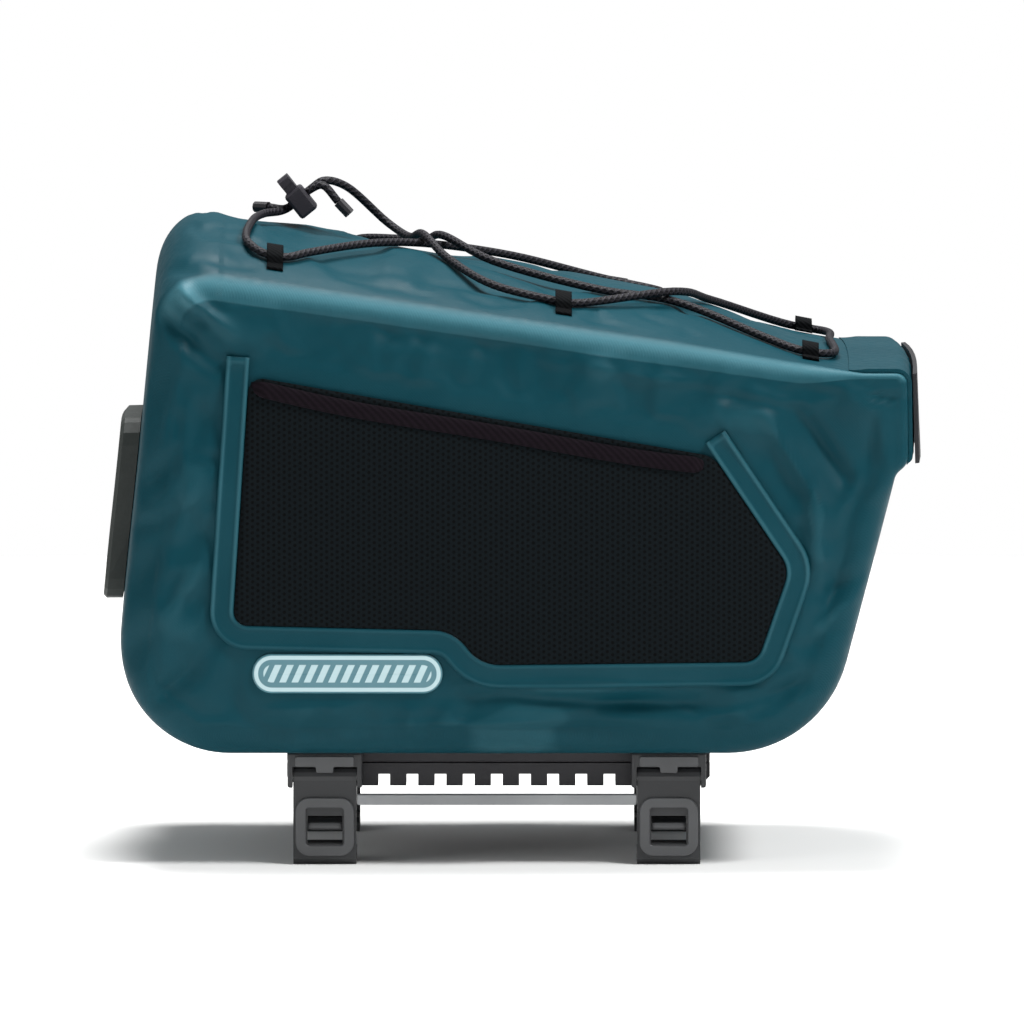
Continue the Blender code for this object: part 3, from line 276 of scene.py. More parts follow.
class TrunkBagSizes(bpy.types.PropertyGroup):
    crown: length_property("Crown", "Rise of the top between its long edges", 25 * MM)
    side_swell: length_property("Side swell", "How far the middle of a side stands out", 5 * MM)
    end_swell: length_property("End swell", "How far the middle of an end stands out", 3 * MM)
    border_width: length_property("Border width", "Width of the welded pocket border", 10 * MM)
    border_cloth: length_property("Border cloth", "Thickness of the pocket border", 1.2 * MM)
    welt_height: length_property("Welt height", "Height of the bead on both border edges", 0.7 * MM)
    net_bulge: length_property("Net bulge", "How far the middle of the net stands out", 2.4 * MM)
    hem_width: length_property("Hem width", "Width of the elastic hem at the pocket mouth", 7 * MM)
    patch_thickness: length_property("Patch thickness", "Thickness of the reflective patch", 1 * MM)
    loop_thickness: length_property("Loop thickness", "Thickness of a cord loop's tape", 1.3 * MM)
    border_rise: length_property("Border rise", "How far the border's ends rise over the mouth", 11 * MM)
    wrinkle_share: bpy.props.FloatProperty(
        name="Wrinkles",
        description="How deep the finer wrinkles are, against their table",
        default=2.0,
        min=0,
        max=3,
        subtype="FACTOR",
    )


class TrunkBagColours(bpy.types.PropertyGroup):
    cloth: colour_property("Cloth", "Petrol coated cloth", "063640")
    cloth_highlight_and_cloud: colour_property("Cloth, highlight and clouds", "Paler cloth of the painted highlight and the faint random clouds", "4A7D89")
    # Paler cloth painted as a highlight on the top seam, raised folds and border beads, and also mixed in
    # faint random clouds
    net: colour_property("Net thread", "Thread of the pocket net", "0B1114")
    net_hole: colour_property("Net holes", "What shows between the threads", "040607")
    hem: colour_property("Hem", "Elastic hem of the pocket mouth", "150F15")
    patch: colour_property("Patch print", "Reflective print of the patch", "A5BFC4")
    patch_ground: colour_property("Patch ground", "Film of the patch between its print", "3F6E79")
    cord: colour_property("Cord", "Sleeve of the elastic cord", "0F0E13")
    cord_fleck: colour_property("Cord fleck", "Fleck thread in the sleeve", "3A3842")
    plastic: colour_property("Adapter plastic", "Grey plastic of the adapter", "2B2C2E")
    plastic_dark: colour_property("Hook plastic", "Darker plastic of the rails and recesses", "1B1A1F")
    # Lighter grey painted on the clamps' raised relief as highlight
    plastic_highlight: colour_property("Adapter relief", "Lighter grey painted on the clamps' raised relief as highlight", "48494B")
    plastic_light: colour_property("Release bar", "Light plastic of the release bar", "8B8D8F")
    plate: colour_property("Rear plate", "Olive black plastic of the rear plate", "262B29")
    floor: colour_property("Floor", "Pale floor", "F8F8F7")


def sizes():
    return bpy.context.scene.trunk_bag_sizes


def colours():
    return bpy.context.scene.trunk_bag_colours


def rounded_outline(corners, degrees_per_step):
    """A closed outline whose corners are arcs: each corner's arc turns from one run into the next."""
    points = []
    normals = []
    area = sum(a[0] * b[1] - b[0] * a[1] for a, b in zip(corners, corners[1:] + corners[:1]))
    for before, corner, after in zip(corners[-1:] + corners[:-1], corners, corners[1:] + corners[:1]):
        here = np.array(corner[:2])
        into = here - np.array(before[:2])
        out = np.array(after[:2]) - here
        into /= np.linalg.norm(into)
        out /= np.linalg.norm(out)
        bend = math.atan2(into[0] * out[1] - into[1] * out[0], float(into @ out))
        steps = max(2, math.ceil(abs(math.degrees(bend)) / degrees_per_step))
        angle = bend * np.linspace(0, 1, steps + 1)[:, None]
        inward = np.array([-into[1], into[0]]) * math.copysign(1, bend)
        centre = here - into * corner[2] * math.tan(abs(bend) / 2) + inward * corner[2]
        turned = -inward * np.cos(angle) + np.array([inward[1], -inward[0]]) * np.sin(angle)
        points.append(centre + turned * corner[2])
        normals.append(turned * math.copysign(1, bend) * math.copysign(1, area))
    return np.concatenate(points), np.concatenate(normals)


def filled_outline(corners, degrees_per_step, longest):
    """A closed outline with rounded corners, its long straight runs divided evenly, and its normals."""
    points, normals = rounded_outline(corners, degrees_per_step)
    following = np.roll(points, -1, axis=0)
    steps = np.maximum(1, np.ceil(np.linalg.norm(following - points, axis=1) / longest)).astype(int)
    index = np.repeat(np.arange(len(points)), steps)
    place = np.arange(len(index)) - np.repeat(np.cumsum(steps) - steps, steps)
    share = (place / steps[index])[:, None]
    normal = normals[index] * (1 - share) + np.roll(normals, -1, axis=0)[index] * share
    normal /= np.linalg.norm(normal, axis=1)[:, None]
    return points[index] * (1 - share) + following[index] * share, normal


def body_point(share_x, share_z):
    return BODY_REAR_X + share_x * BODY_LENGTH, BODY_BOTTOM + share_z * BODY_HEIGHT


OUTLINE_CORNERS = [(*body_point(row[1], row[2]), row[3]) for row in SIDE_OUTLINE]
RIDGE_REAR = OUTLINE_CORNERS[0]
RIDGE_FRONT = OUTLINE_CORNERS[-1]
FRONT_WAIST = OUTLINE_CORNERS[-2]
WINDOW_CORNERS = [(*body_point(row[1], row[2]), row[3] * BODY_HEIGHT) for row in POCKET_WINDOW]


def ridge_height(x):
    share = (x - RIDGE_REAR[0]) / (RIDGE_FRONT[0] - RIDGE_REAR[0])
    return RIDGE_REAR[1] + share * (RIDGE_FRONT[1] - RIDGE_REAR[1])


def body_corners():
    """The side outline with the rolled closure's silhouette in place of its upper front corner."""
    corner = np.array(RIDGE_FRONT[:2])
    up = corner - FRONT_WAIST[:2]
    up /= np.linalg.norm(up)
    outward = np.array([up[1], -up[0]])
    depth = ROLL_DEPTH - ROLL_CLOTH
    length = ROLL_HEIGHT - 2 * ROLL_CLOTH
    foot = corner - up * length - outward * WAIST_SETBACK
    heel = corner - up * (length - ROLL_FOOT_RISE) + outward * depth * (1 - ROLL_TAPER)
    top = corner + outward * depth
    top[1] = ridge_height(top[0]) + ROLL_RISE
    tail_x = corner[0] - 0.6 * ROLL_TAIL
    tail = (tail_x, ridge_height(tail_x))
    radii = (ROLL_FOOT_RADIUS, ROLL_FOOT_RADIUS, ROLL_TOP_RADIUS, ROLL_TAIL)
    rounded = zip((foot, heel, top, tail), radii)
    return [*OUTLINE_CORNERS[:-2], *((float(p[0]), float(p[1]), radius) for p, radius in rounded)]


def smooth_step(value):
    value = np.clip(value, 0, 1)
    return value * value * (3 - 2 * value)


def fold_sum(rows, long_place, wide_place):
    """Depth of several folds at once: each is a bell, long one way and narrow the other, turned in place.

    long_place and wide_place are distances in metres along the body and across the cloth. A row holds its
    centre in the same distances, both half sizes, the turn in radians and the depth.
    """
    centre_long, centre_wide, half_long, half_wide, turn, depth = rows.T
    along = long_place[..., None] - centre_long
    over = wide_place[..., None] - centre_wide
    long_way = (along * np.cos(turn) + over * np.sin(turn)) / half_long
    wide_way = (over * np.cos(turn) - along * np.sin(turn)) / half_wide
    return (np.exp(-(long_way**2) - wide_way**2) * depth).sum(axis=-1)


def fold_rows(table, wide_unit, depth_unit):
    """The folds of a table in metres and radians. wide_unit is what the second shares are shares of."""
    units = (BODY_LENGTH, wide_unit, BODY_LENGTH, BODY_LENGTH, math.radians(1), depth_unit)
    return np.array([row[1:] for row in table]) * units


def points_at(x, y, z):
    """Points from their three coordinates, each of them a number or an array."""
    return np.stack(np.broadcast_arrays(x, y, z), axis=-1)


def softened(points, fine=True):
    """The soft form. The top rises as 1 - y², the sides and ends swell as parabolas, and folds are bells.

    fine adds the smaller wrinkles, which the solids leave out, and which fade at the bottom and the rear.
    """
    size = sizes()
    x, y, z = np.moveaxis(points, -1, 0)
    share_x = (x - BODY_REAR_X) / BODY_LENGTH
    share_z = (z - BODY_BOTTOM) / BODY_HEIGHT
    length_place = share_x * BODY_LENGTH
    height_place = share_z * BODY_HEIGHT
    across = np.clip(np.abs(y) / (BODY_WIDTH / 2), 0, 1)
    crown = 1 - across**2
    top_share = (z - BODY_BOTTOM) / (ridge_height(x) - BODY_BOTTOM)
    crown_share = np.interp(share_x, [row[1] for row in CROWN_TABLE], [row[2] for row in CROWN_TABLE])
    lift = size.crown * crown_share * crown * smooth_step((top_share - CROWN_START) / (1 - CROWN_START))
    middle_x = np.clip(1 - (2 * share_x - 1) ** 2, 0, 1)
    middle_z = np.clip(1 - (2 * share_z - 1) ** 2, 0, 1)
    folds = fold_sum(fold_rows(FOLDS, BODY_HEIGHT, BODY_WIDTH), length_place, height_place)
    outward = size.side_swell * middle_x * middle_z - folds
    if fine:
        near_side = smooth_step((across - 0.86) / 0.14) * beside_patch(x, z)
        wrinkles = fold_sum(fold_rows(WRINKLES, BODY_HEIGHT, MM), length_place, height_place)
        outward = outward + (relief_at("side", x, z) - wrinkles * size.wrinkle_share) * near_side
        on_top = smooth_step((top_share - 0.93) / 0.05) * smooth_step(crown / 0.2)
        waves = fold_sum(fold_rows(TOP_FOLDS, BODY_WIDTH / 2, MM), length_place, y)
        relief = np.minimum(relief_at("top", x, y), MOST_TOP_RISE)
        lift = lift + (relief - np.maximum(waves, -MOST_TOP_RIDGE)) * on_top
    ends = np.clip(2 * share_x - 1, -1, 1) ** 3
    moved_x = x + size.end_swell * ends * crown * middle_z
    return points_at(moved_x, y + np.sign(y) * across * outward, z + lift)


def beside_patch(x, z):
    """0 on the welded seat of the patch, where the cloth lies flat, and 1 away from it."""
    flat_rim, fade = 1.5 * MM, 8 * MM
    middle = (PATCH_LOW + PATCH_HIGH) / 2
    half = (PATCH_HIGH - PATCH_LOW) / 2
    past_x = np.maximum(np.abs(x - middle.x) - half.x, 0)
    past_z = np.maximum(np.abs(z - middle.z) - half.z, 0)
    return smooth_step((np.hypot(past_x, past_z) - flat_rim) / fade)


RELIEF = {"side": None, "top": None}


def spline_shares(place):
    """The four weights of a cubic B-spline at a place between its second and third points."""
    rest = 1 - place
    middle = 3 * place**3 - 6 * place**2 + 4
    following = 3 * rest**3 - 6 * rest**2 + 4
    return rest**3 / 6, middle / 6, following / 6, place**3 / 6


def relief_at(name, first, second):
    """The simulated relief at places on a cloth: a cubic B-spline over the heights of its grid."""
    held = RELIEF[name]
    if held is None:
        return np.zeros_like(first)
    grid, low, step = held
    u = np.clip((first - low[0]) / step, 0, grid.shape[0] - 1.001)
    v = np.clip((second - low[1]) / step, 0, grid.shape[1] - 1.001)
    i, j = u.astype(int), v.astype(int)
    height = np.zeros_like(first)
    for a, share_u in enumerate(spline_shares(u - i)):
        for b, share_v in enumerate(spline_shares(v - j)):
            row = np.clip(i + a - 1, 0, grid.shape[0] - 1)
            column = np.clip(j + b - 1, 0, grid.shape[1] - 1)
            height = height + share_u * share_v * grid[row, column]
    return height


def side_points(flat, side, offset):
    """Points of an XZ outline laid on a side of the body, standing off it by offset."""
    return softened(points_at(flat[:, 0], side * (BODY_WIDTH / 2 + offset), flat[:, 1]))


def walked_along(points):
    """How far each point lies from the first one, along the line of points."""
    return np.concatenate([[0], np.cumsum(np.linalg.norm(np.diff(points, axis=0), axis=1))])


def grid_faces(rows, columns, closed_rows, closed_columns=False):
    """Quads of a grid numbered row by row, as an array of four indices."""
    row = np.arange(rows if closed_rows else rows - 1)
    column = np.arange(columns if closed_columns else columns - 1)
    row, column = np.meshgrid(row, column, indexing="ij")
    next_row = (row + 1) % rows
    next_column = (column + 1) % columns
    corners = [
        row * columns + column,
        row * columns + next_column,
        next_row * columns + next_column,
        next_row * columns + column,
    ]
    return np.stack(corners, axis=-1).reshape(-1, 4)


def fan_faces(pole, ring):
    """Triangles from one vertex to a closed ring of vertices."""
    return np.stack([np.full(len(ring), pole), ring, np.roll(ring, -1)], axis=1)


def new_mesh(name, verts, face_sets):
    mesh = bpy.data.meshes.new(name)
    mesh.from_pydata(verts.tolist(), [], [face for faces in face_sets for face in faces.tolist()])
    return mesh


def new_object(name, data):
    made = bpy.data.objects.new(name, data)
    bpy.context.scene.collection.objects.link(made)
    return made


def make_piece(name, verts, face_sets, material, body, uvs=None):
    """A finished piece: its mesh in the frame's own place, faces outwards, riding on a body."""
    mesh = new_mesh(name, verts, face_sets)
    if uvs is not None:
        layer = mesh.uv_layers.new(name="along")
        layer.data.foreach_set("uv", uvs.astype(np.float32).ravel())
    work = bmesh.new()
    work.from_mesh(mesh)
    bmesh.ops.recalc_face_normals(work, faces=work.faces)
    work.to_mesh(mesh)
    work.free()
    mesh.shade_smooth()
    mesh.materials.append(material)
    piece = new_object(name, mesh)
    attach(piece, body)
    return piece


def set_attribute(piece, name, values):
    """A number at each vertex, which the piece's material reads."""
    attribute = piece.data.attributes.new(name, "FLOAT", "POINT")
    attribute.data.foreach_set("value", np.asarray(values, dtype=np.float32).ravel())


def set_weave(piece, first, second):
    """The place of each vertex on its flat cloth, in metres, which the weave follows."""
    attribute = piece.data.attributes.new("weave", "FLOAT_VECTOR", "POINT")
    places = np.stack([first, second, np.zeros_like(first)], axis=-1).astype(np.float32)
    attribute.data.foreach_set("vector", places.ravel())


def vertex_places(mesh):
    places = np.zeros(len(mesh.vertices) * 3, np.float32)
    mesh.vertices.foreach_get("co", places)
    return places.reshape(-1, 3)


def disc_piece(name, outer_rings, inner_rings, material, slot, body="bag"):
    """A closed sheet: rings of points from the rim to near the middle, on both faces."""
    count = outer_rings[0].shape[0]
    steps = len(outer_rings)
    layer = steps * count + 1
    stacks = []
    for rings in (outer_rings, inner_rings):
        stacks += [*rings, rings[-1].mean(axis=0)[None]]
    quads = grid_faces(steps, count, closed_rows=False, closed_columns=True)
    fan = fan_faces(steps * count, np.arange((steps - 1) * count, steps * count))
    first = np.arange(count)
    rim = np.stack([first, np.roll(first, -1), np.roll(first, -1) + layer, first + layer], axis=1)
    sets = [quads, quads[:, ::-1] + layer, fan, fan[:, ::-1] + layer, rim]
    return make_piece(name, np.concatenate(stacks), sets, material, body)


def strip_piece(name, outer, inner, closed_rows, material, slot, body="bag", replaces=()):
    """A closed wall between two grids of points of the same size."""
    rows, columns = outer.shape[:2]
    layer = rows * columns
    faces = grid_faces(rows, columns, closed_rows)
    sets = [faces, faces[:, ::-1] + layer]
    row = np.arange(rows if closed_rows else rows - 1)
    following = (row + 1) % rows
    for column in (0, columns - 1):
        a, b = row * columns + column, following * columns + column
        sets.append(np.stack([a, b, b + layer, a + layer], axis=1))
    if not closed_rows:
        for end in (0, rows - 1):
            a = end * columns + np.arange(columns - 1)
            sets.append(np.stack([a, a + 1, a + 1 + layer, a + layer], axis=1))
    verts = np.concatenate([outer.reshape(-1, 3), inner.reshape(-1, 3)])
    piece = make_piece(name, verts, sets, material, body)
    if replaces:
        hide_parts(*replaces)
    return piece


def tube_piece(name, path, half_wide, half_high, sides, material, body="bag"):
    """An ellipse carried along a path, across the path's own direction, with closed ends.

    Each half size is one number, or one for each point of the path.
    """
    forward = np.gradient(path, axis=0)
    forward /= np.linalg.norm(forward, axis=1)[:, None]
    across = np.cross(forward, (0.0, 0.0, 1.0))
    across /= np.linalg.norm(across, axis=1)[:, None]
    up = np.cross(across, forward)
    angle = 2 * math.pi * np.arange(sides) / sides
    half_wide, half_high = (np.broadcast_to(half, len(path))[:, None] for half in (half_wide, half_high))
    ring = across[:, None] * (np.cos(angle) * half_wide)[..., None]
    ring = ring + up[:, None] * (np.sin(angle) * half_high)[..., None]
    verts = (path[:, None] + ring).reshape(-1, 3)
    rows = len(path)
    quads = grid_faces(rows, sides, closed_rows=False, closed_columns=True)
    fans = [
        fan_faces(rows * sides, np.arange(sides)),
        fan_faces(rows * sides + 1, np.arange((rows - 1) * sides, rows * sides)),
    ]
    length = walked_along(path)
    row, column = np.divmod(np.arange((rows - 1) * sides), sides)
    u = np.stack([column, column + 1, column + 1, column], 1) / sides
    v = np.stack([length[row], length[row], length[row + 1], length[row + 1]], 1)
    uvs = np.concatenate([np.stack([u, v], axis=-1).reshape(-1, 2), np.zeros((2 * sides * 3, 2))])
    verts = np.concatenate([verts, path[:1], path[-1:]])
    return make_piece(name, verts, [quads, *fans], material, body, uvs)


def add(tree, kind, inputs=None, **settings):
    """Adds a node, sets its settings, and sets or links its inputs."""
    made = tree.nodes.new(kind)
    for key, value in settings.items():
        setattr(made, key, value)
    for key, value in (inputs or {}).items():
        if isinstance(value, bpy.types.NodeSocket):
            tree.links.new(value, made.inputs[key])
        else:
            made.inputs[key].default_value = value
    return made


def start_material(name, roughness, ior=1.5, metallic=0.0, **sockets):
    """A material with only its surface shader, with constants set on the shader's own sockets."""
    material = bpy.data.materials.new(name)
    material.use_nodes = True
    tree = material.node_tree
    shader = tree.nodes["Principled BSDF"]
    shader.inputs["Roughness"].default_value = roughness
    shader.inputs["IOR"].default_value = ior
    shader.inputs["Metallic"].default_value = metallic
    for key, value in sockets.items():
        shader.inputs[key.replace("_", " ")].default_value = value
    place = add(tree, "ShaderNodeTexCoord").outputs["Object"]
    return material, tree, shader, place


def mixed(tree, share, first, second):
    """A colour that goes from first to second with share."""
    made = add(tree, "ShaderNodeMix", data_type="RGBA")
    for index, value in ((0, share), (6, first), (7, second)):
        if isinstance(value, bpy.types.NodeSocket):
            tree.links.new(value, made.inputs[index])
        else:
            made.inputs[index].default_value = (*value, 1) if index else value
    return made.outputs[2]


def ranged(tree, value, low, high, to_low, to_high):
    """value between low and high, brought to between to_low and to_high."""
    inputs = {0: value, 1: low, 2: high, 3: to_low, 4: to_high}
    return add(tree, "ShaderNodeMapRange", inputs).outputs[0]


def worked_out(tree, operation, *values):
    """The result of one operation on numbers or sockets."""
    return add(tree, "ShaderNodeMath", dict(enumerate(values)), operation=operation).outputs[0]


def wave_along(tree, operation, place, way):
    """A sine or cosine of how far a place lies along a way."""
    along = add(tree, "ShaderNodeVectorMath", {0: place, 1: way}, operation="DOT_PRODUCT")
    return worked_out(tree, operation, along.outputs["Value"])


def noise(tree, place, scale, detail):
    inputs = {"Vector": place, "Scale": scale, "Detail": detail}
    return add(tree, "ShaderNodeTexNoise", inputs).outputs["Fac"]


def stored(tree, name, output="Fac"):
    """What the mesh holds under that name at each vertex."""
    return add(tree, "ShaderNodeAttribute", attribute_name=name).outputs[output]


def raised(tree, height, strength, distance, **under):
    """The normal of a surface raised by height, over the normal given as Normal where there is one."""
    inputs = {"Height": height, "Strength": strength, "Distance": distance, **under}
    return add(tree, "ShaderNodeBump", inputs).outputs[0]


def connect(tree, shader, **sockets):
    """Links each value to the shader's socket of that name."""
    for key, value in sockets.items():
        tree.links.new(value, shader.inputs[key.replace("_", " ")])


def coated_cloth(name):
    """Woven polyester laminated with a soft film: even satin, with a faint weave, faint random paler
    clouds, and a paler highlight painted on the top seam, raised folds and border beads.
    """
    colour = colours()
    material, tree, shader, place = start_material(name, 0.42, 1.49, Specular_IOR_Level=0.09)
    # The weave is about 0.5 mm a thread. It is drawn at 1.3 mm, because a finer one doesn't show.
    turns = 2 * math.pi / (1.3 * MM)
    along = stored(tree, "weave", "Vector")
    threads = [wave_along(tree, "SINE", along, way) for way in ((turns, 0, 0), (0, turns, 0))]
    broad = noise(tree, place, 22, 4)
    # Faint random paler clouds, then a paler highlight painted where the mesh's highlight mask is high
    clouded = mixed(tree, ranged(tree, broad, 0.35, 0.7, 0, 0.035), colour.cloth, colour.cloth_highlight_and_cloud)
    highlight_share = ranged(tree, stored(tree, "painted_highlight"), 0.15, 1, 0, 0.6)
    soft = raised(tree, broad, 0.55, 1.3 * MM)
    connect(
        tree,
        shader,
        Base_Color=mixed(tree, highlight_share, clouded, colour.cloth_highlight_and_cloud),
        Roughness=ranged(tree, noise(tree, place, 260, 3), 0.3, 0.7, 0.40, 0.52),
        Normal=raised(tree, worked_out(tree, "MULTIPLY", *threads), 0.3, 0.08 * MM, Normal=soft),
    )
    return material


def knitted_net(name):
    """Warp-knitted polyester net: matt black thread around rows of round holes, set as a honeycomb.

    The sum of three cosines a third of a turn apart peaks in the middle of each hole.
    """
    colour = colours()
    material, tree, shader, place = start_material(name, 0.92, 1.5, Specular_IOR_Level=0.08)
    # The holes are about 1.5 mm apart. They are drawn at 2.6 mm, because finer ones don't show.
    turns = 2 * math.pi / (2.6 * MM * math.sin(math.pi / 3))
    first, second, third = (
        wave_along(tree, "COSINE", place, (turns * math.cos(angle), 0, turns * math.sin(angle)))
        for angle in (0, math.pi / 3, 2 * math.pi / 3)
    )
    holes = worked_out(tree, "ADD", worked_out(tree, "ADD", first, second), third)
    thread = ranged(tree, holes, 0.2, 1.6, 1, 0)
    shade = mixed(tree, thread, colour.net_hole, colour.net)
    connect(tree, shader, Base_Color=shade, Normal=raised(tree, thread, 0.5, 0.3 * MM))
    return material


def woven_tape(name, tint, pitch):
    """Narrow woven polyester tape: cross ribs a thread wide, and a slightly shiny yarn."""
    material, tree, shader, place = start_material(name, 0.8, 1.5, Specular_IOR_Level=0.06)
    inputs = {"Vector": place, "Scale": 2 * math.pi / pitch / 20}
    ribs = add(tree, "ShaderNodeTexWave", inputs, bands_direction="DIAGONAL").outputs["Fac"]
    shade = mixed(tree, ribs, tuple(0.55 * v for v in tint), tint)
    connect(tree, shader, Base_Color=shade, Normal=raised(tree, ribs, 0.5, 0.2 * MM))
    return material


def braided_cord(name):
    """Braided nylon sleeve over rubber: yarns cross in two spirals, with a paler fleck yarn."""
    colour = colours()
    material, tree, shader, _ = start_material(name, 0.6, 1.53, Specular_IOR_Level=0.22)
    uv = add(tree, "ShaderNodeUVMap", uv_map="along").outputs[0]
    split = add(tree, "ShaderNodeSeparateXYZ", {0: uv}).outputs
    # Four yarns each way round the cord, one turn in 12 mm
    turn = worked_out(tree, "MULTIPLY", split[1], 1 / (12 * MM))
    phases = [worked_out(tree, "MULTIPLY_ADD", split[0], way, turn) for way in (1, -1)]
    yarns = [worked_out(tree, "SINE", worked_out(tree, "MULTIPLY", phase, 8 * math.pi)) for phase in phases]
    fleck = ranged(tree, yarns[1], 0.86, 0.97, 0, 0.75)
    height = worked_out(tree, "MAXIMUM", *yarns)
    shade = mixed(tree, fleck, colour.cord, colour.cord_fleck)
    connect(tree, shader, Base_Color=shade, Normal=raised(tree, height, 0.6, 0.25 * MM))
    return material


def reflective_print(name):
    """Reflective film with a greyish petrol ground: a rim line and a band of plain slanted bars."""
    colour = colours()
    material, tree, shader, place = start_material(name, 0.34, 1.5, Coat_Weight=0.2)
    inset = stored(tree, "inset")
    split = add(tree, "ShaderNodeSeparateXYZ", {0: place}).outputs
    slanted = worked_out(tree, "MULTIPLY_ADD", split[2], -0.45, split[0])
    part = worked_out(tree, "FRACT", worked_out(tree, "MULTIPLY", slanted, 1 / (5.2 * MM)))
    bar = ranged(tree, part, 0.52, 0.58, 1, 0)
    band = ranged(tree, inset, 4.6 * MM, 4.9 * MM, 0, 1)
    rim_in = ranged(tree, inset, 0.7 * MM, 0.9 * MM, 0, 1)
    rim_out = ranged(tree, inset, 2.4 * MM, 2.6 * MM, 1, 0)
    rim = worked_out(tree, "MULTIPLY", rim_in, rim_out)
    shown = worked_out(tree, "MAXIMUM", rim, worked_out(tree, "MULTIPLY", bar, band))
    connect(tree, shader, Base_Color=mixed(tree, shown, colour.patch_ground, colour.patch))
    return material


def moulded_plastic(name, tint, roughness, grain=0.5 * MM):
    """Injection-moulded glass-filled nylon: spark-eroded grain, slightly paler where it is handled."""
    material, tree, shader, place = start_material(name, roughness, 1.53, Specular_IOR_Level=0.35)
    grit = noise(tree, place, 0.6 / grain, 3)
    handled = ranged(tree, noise(tree, place, 38, 4), 0.35, 0.7, 0, 0.35)
    paler = tuple(min(1.0, 1.5 * v + 0.01) for v in tint)
    connect(
        tree,
        shader,
        Base_Color=mixed(tree, handled, tuple(tint), paler),
        Roughness=ranged(tree, grit, 0.3, 0.7, roughness - 0.06, roughness + 0.08),
        Normal=raised(tree, grit, 0.6, 0.05 * MM),
    )
    return material


def drawn_steel(name):
    """Drawn stainless pin: fine lines along its length."""
    material, tree, shader, place = start_material(name, 0.32, metallic=1.0)
    stretched = add(tree, "ShaderNodeMapping", {"Vector": place, "Scale": (60, 4000, 4000)}).outputs[0]
    lines = noise(tree, stretched, 1, 2)
    connect(tree, shader, Base_Color=mixed(tree, lines, linear("8C8D8F"), linear("C4C5C7")))
    return material


def material_named(name, maker, *words):
    """The material of that name, made the first time that a piece needs it."""
    return bpy.data.materials.get(name) or maker(name, *words)


def cloth_material():
    return material_named("laminated_polyester_cloth", coated_cloth)


class TRUNKBAG_OT_relief(bpy.types.Operator):
    """Simulates the slack cloth of a side and of the top, held at their seams, and keeps its relief"""

    bl_idname = "trunkbag.relief"
    bl_label = "Cloth relief"

    step = 3 * MM
    frames = 20
    most_side = 3.2 * MM
    most_top = 2.4 * MM
    loop_seat = (9 * MM, 12 * MM)
    cloth_settings = {
        "vertex_group_mass": "held",
        "quality": 6,
        "mass": 0.3,
        "tension_stiffness": 40,
        "compression_stiffness": 40,
        "shear_stiffness": 20,
        "bending_stiffness": 1.2,
        "shrink_min": -0.035,
    }

    def execute(self, context):
        outline, out_normals = filled_outline(OUTLINE_CORNERS, BODY_ARC_STEP, BODY_RUN)
        seam = outline - out_normals * edge_radius(outline, out_normals)[:, None]
        window, normals = filled_outline(WINDOW_CORNERS, WINDOW_ARC_STEP, POCKET_RUN)
        border = window + normals * sizes().border_width
        low, high = seam.min(axis=0), seam.max(axis=0)
        grid = self.places(low, high)
        flat = grid.reshape(-1, 2)
        held = ~self.within(flat, seam) | self.within(flat, border)
        RELIEF["side"] = (self.simulated("side", grid, held, self.most_side), low, self.step)
        half = BODY_WIDTH / 2 - EDGE_RADIUS
        low = np.array([RIDGE_REAR[0] + 8 * MM, -half])
        high = np.array([RIDGE_FRONT[0] - ROLL_TAIL, half])
        grid = self.places(low, high)
        flat = grid.reshape(-1, 2)
        held = (flat <= low + self.step).any(axis=1) | (flat >= high - 2 * self.step).any(axis=1)
        for _, side, x, share in CORD_LOOPS:
            near = np.abs(flat - (x, side * share * BODY_WIDTH / 2)) < self.loop_seat
            held |= near.all(axis=1)
        RELIEF["top"] = (self.simulated("top", grid, held, self.most_top), low, self.step)
        return {"FINISHED"}

    def places(self, low, high):
        counts = np.ceil((high - low) / self.step).astype(int) + 1
        first = low[0] + self.step * np.arange(counts[0])
        second = low[1] + self.step * np.arange(counts[1])
        return np.stack(np.meshgrid(first, second, indexing="ij"), axis=-1)

    @staticmethod
    def within(places, loop):
        """Which places lie inside a closed outline: those that an odd number of its runs passes above."""
        x, z = places[:, :1], places[:, 1:]
        ax, az = loop[:, 0], loop[:, 1]
        bx, bz = np.roll(ax, -1), np.roll(az, -1)
        spans = (ax > x) != (bx > x)
        rise = az + (x - ax) * (bz - az) / np.where(bx == ax, 1, bx - ax)
        return (spans & (rise > z)).sum(axis=1) % 2 == 1

    def simulated(self, name, grid, held, most):
        """Relief of a flat cloth cut a little too large for where it is held, which buckles into folds."""
        rows, columns = grid.shape[:2]
        flat = grid.reshape(-1, 2)
        # A faint start shape decides which way the folds go, the same way each time.
        start = 0.5 * MM * (np.sin(flat[:, 0] / (13 * MM) + np.sin(flat[:, 1] / (21 * MM)) * 1.7))
        start += 0.4 * MM * np.sin(flat[:, 1] / (9 * MM) + np.sin(flat[:, 0] / (31 * MM)) * 2.1)
        verts = np.column_stack([flat, np.where(held, 0.0, start)])
        mesh = new_mesh(f"{name}_relief", verts, [grid_faces(rows, columns, closed_rows=False)])
        cloth = new_object(f"{name}_relief", mesh)
        group = cloth.vertex_groups.new(name="held")
        group.add(np.flatnonzero(held).tolist(), 1.0, "REPLACE")
        modifier = cloth.modifiers.new("cloth", "CLOTH")
        for key, value in self.cloth_settings.items():
            setattr(modifier.settings, key, value)
        modifier.settings.effector_weights.gravity = 0.0
        modifier.collision_settings.use_collision = False
        modifier.point_cache.frame_start = 1
        modifier.point_cache.frame_end = self.frames
        for frame_number in range(1, self.frames + 1):
            bpy.context.scene.frame_set(frame_number)
        ended = cloth.evaluated_get(bpy.context.evaluated_depsgraph_get()).data
        relief = vertex_places(ended)[:, 2].reshape(rows, columns).astype(float)
        bpy.data.objects.remove(cloth)
        bpy.context.scene.frame_set(1)
        print(f"{name} relief: {relief.min() / MM:.2f} to {relief.max() / MM:.2f} mm")
        return most * np.tanh(relief / most)


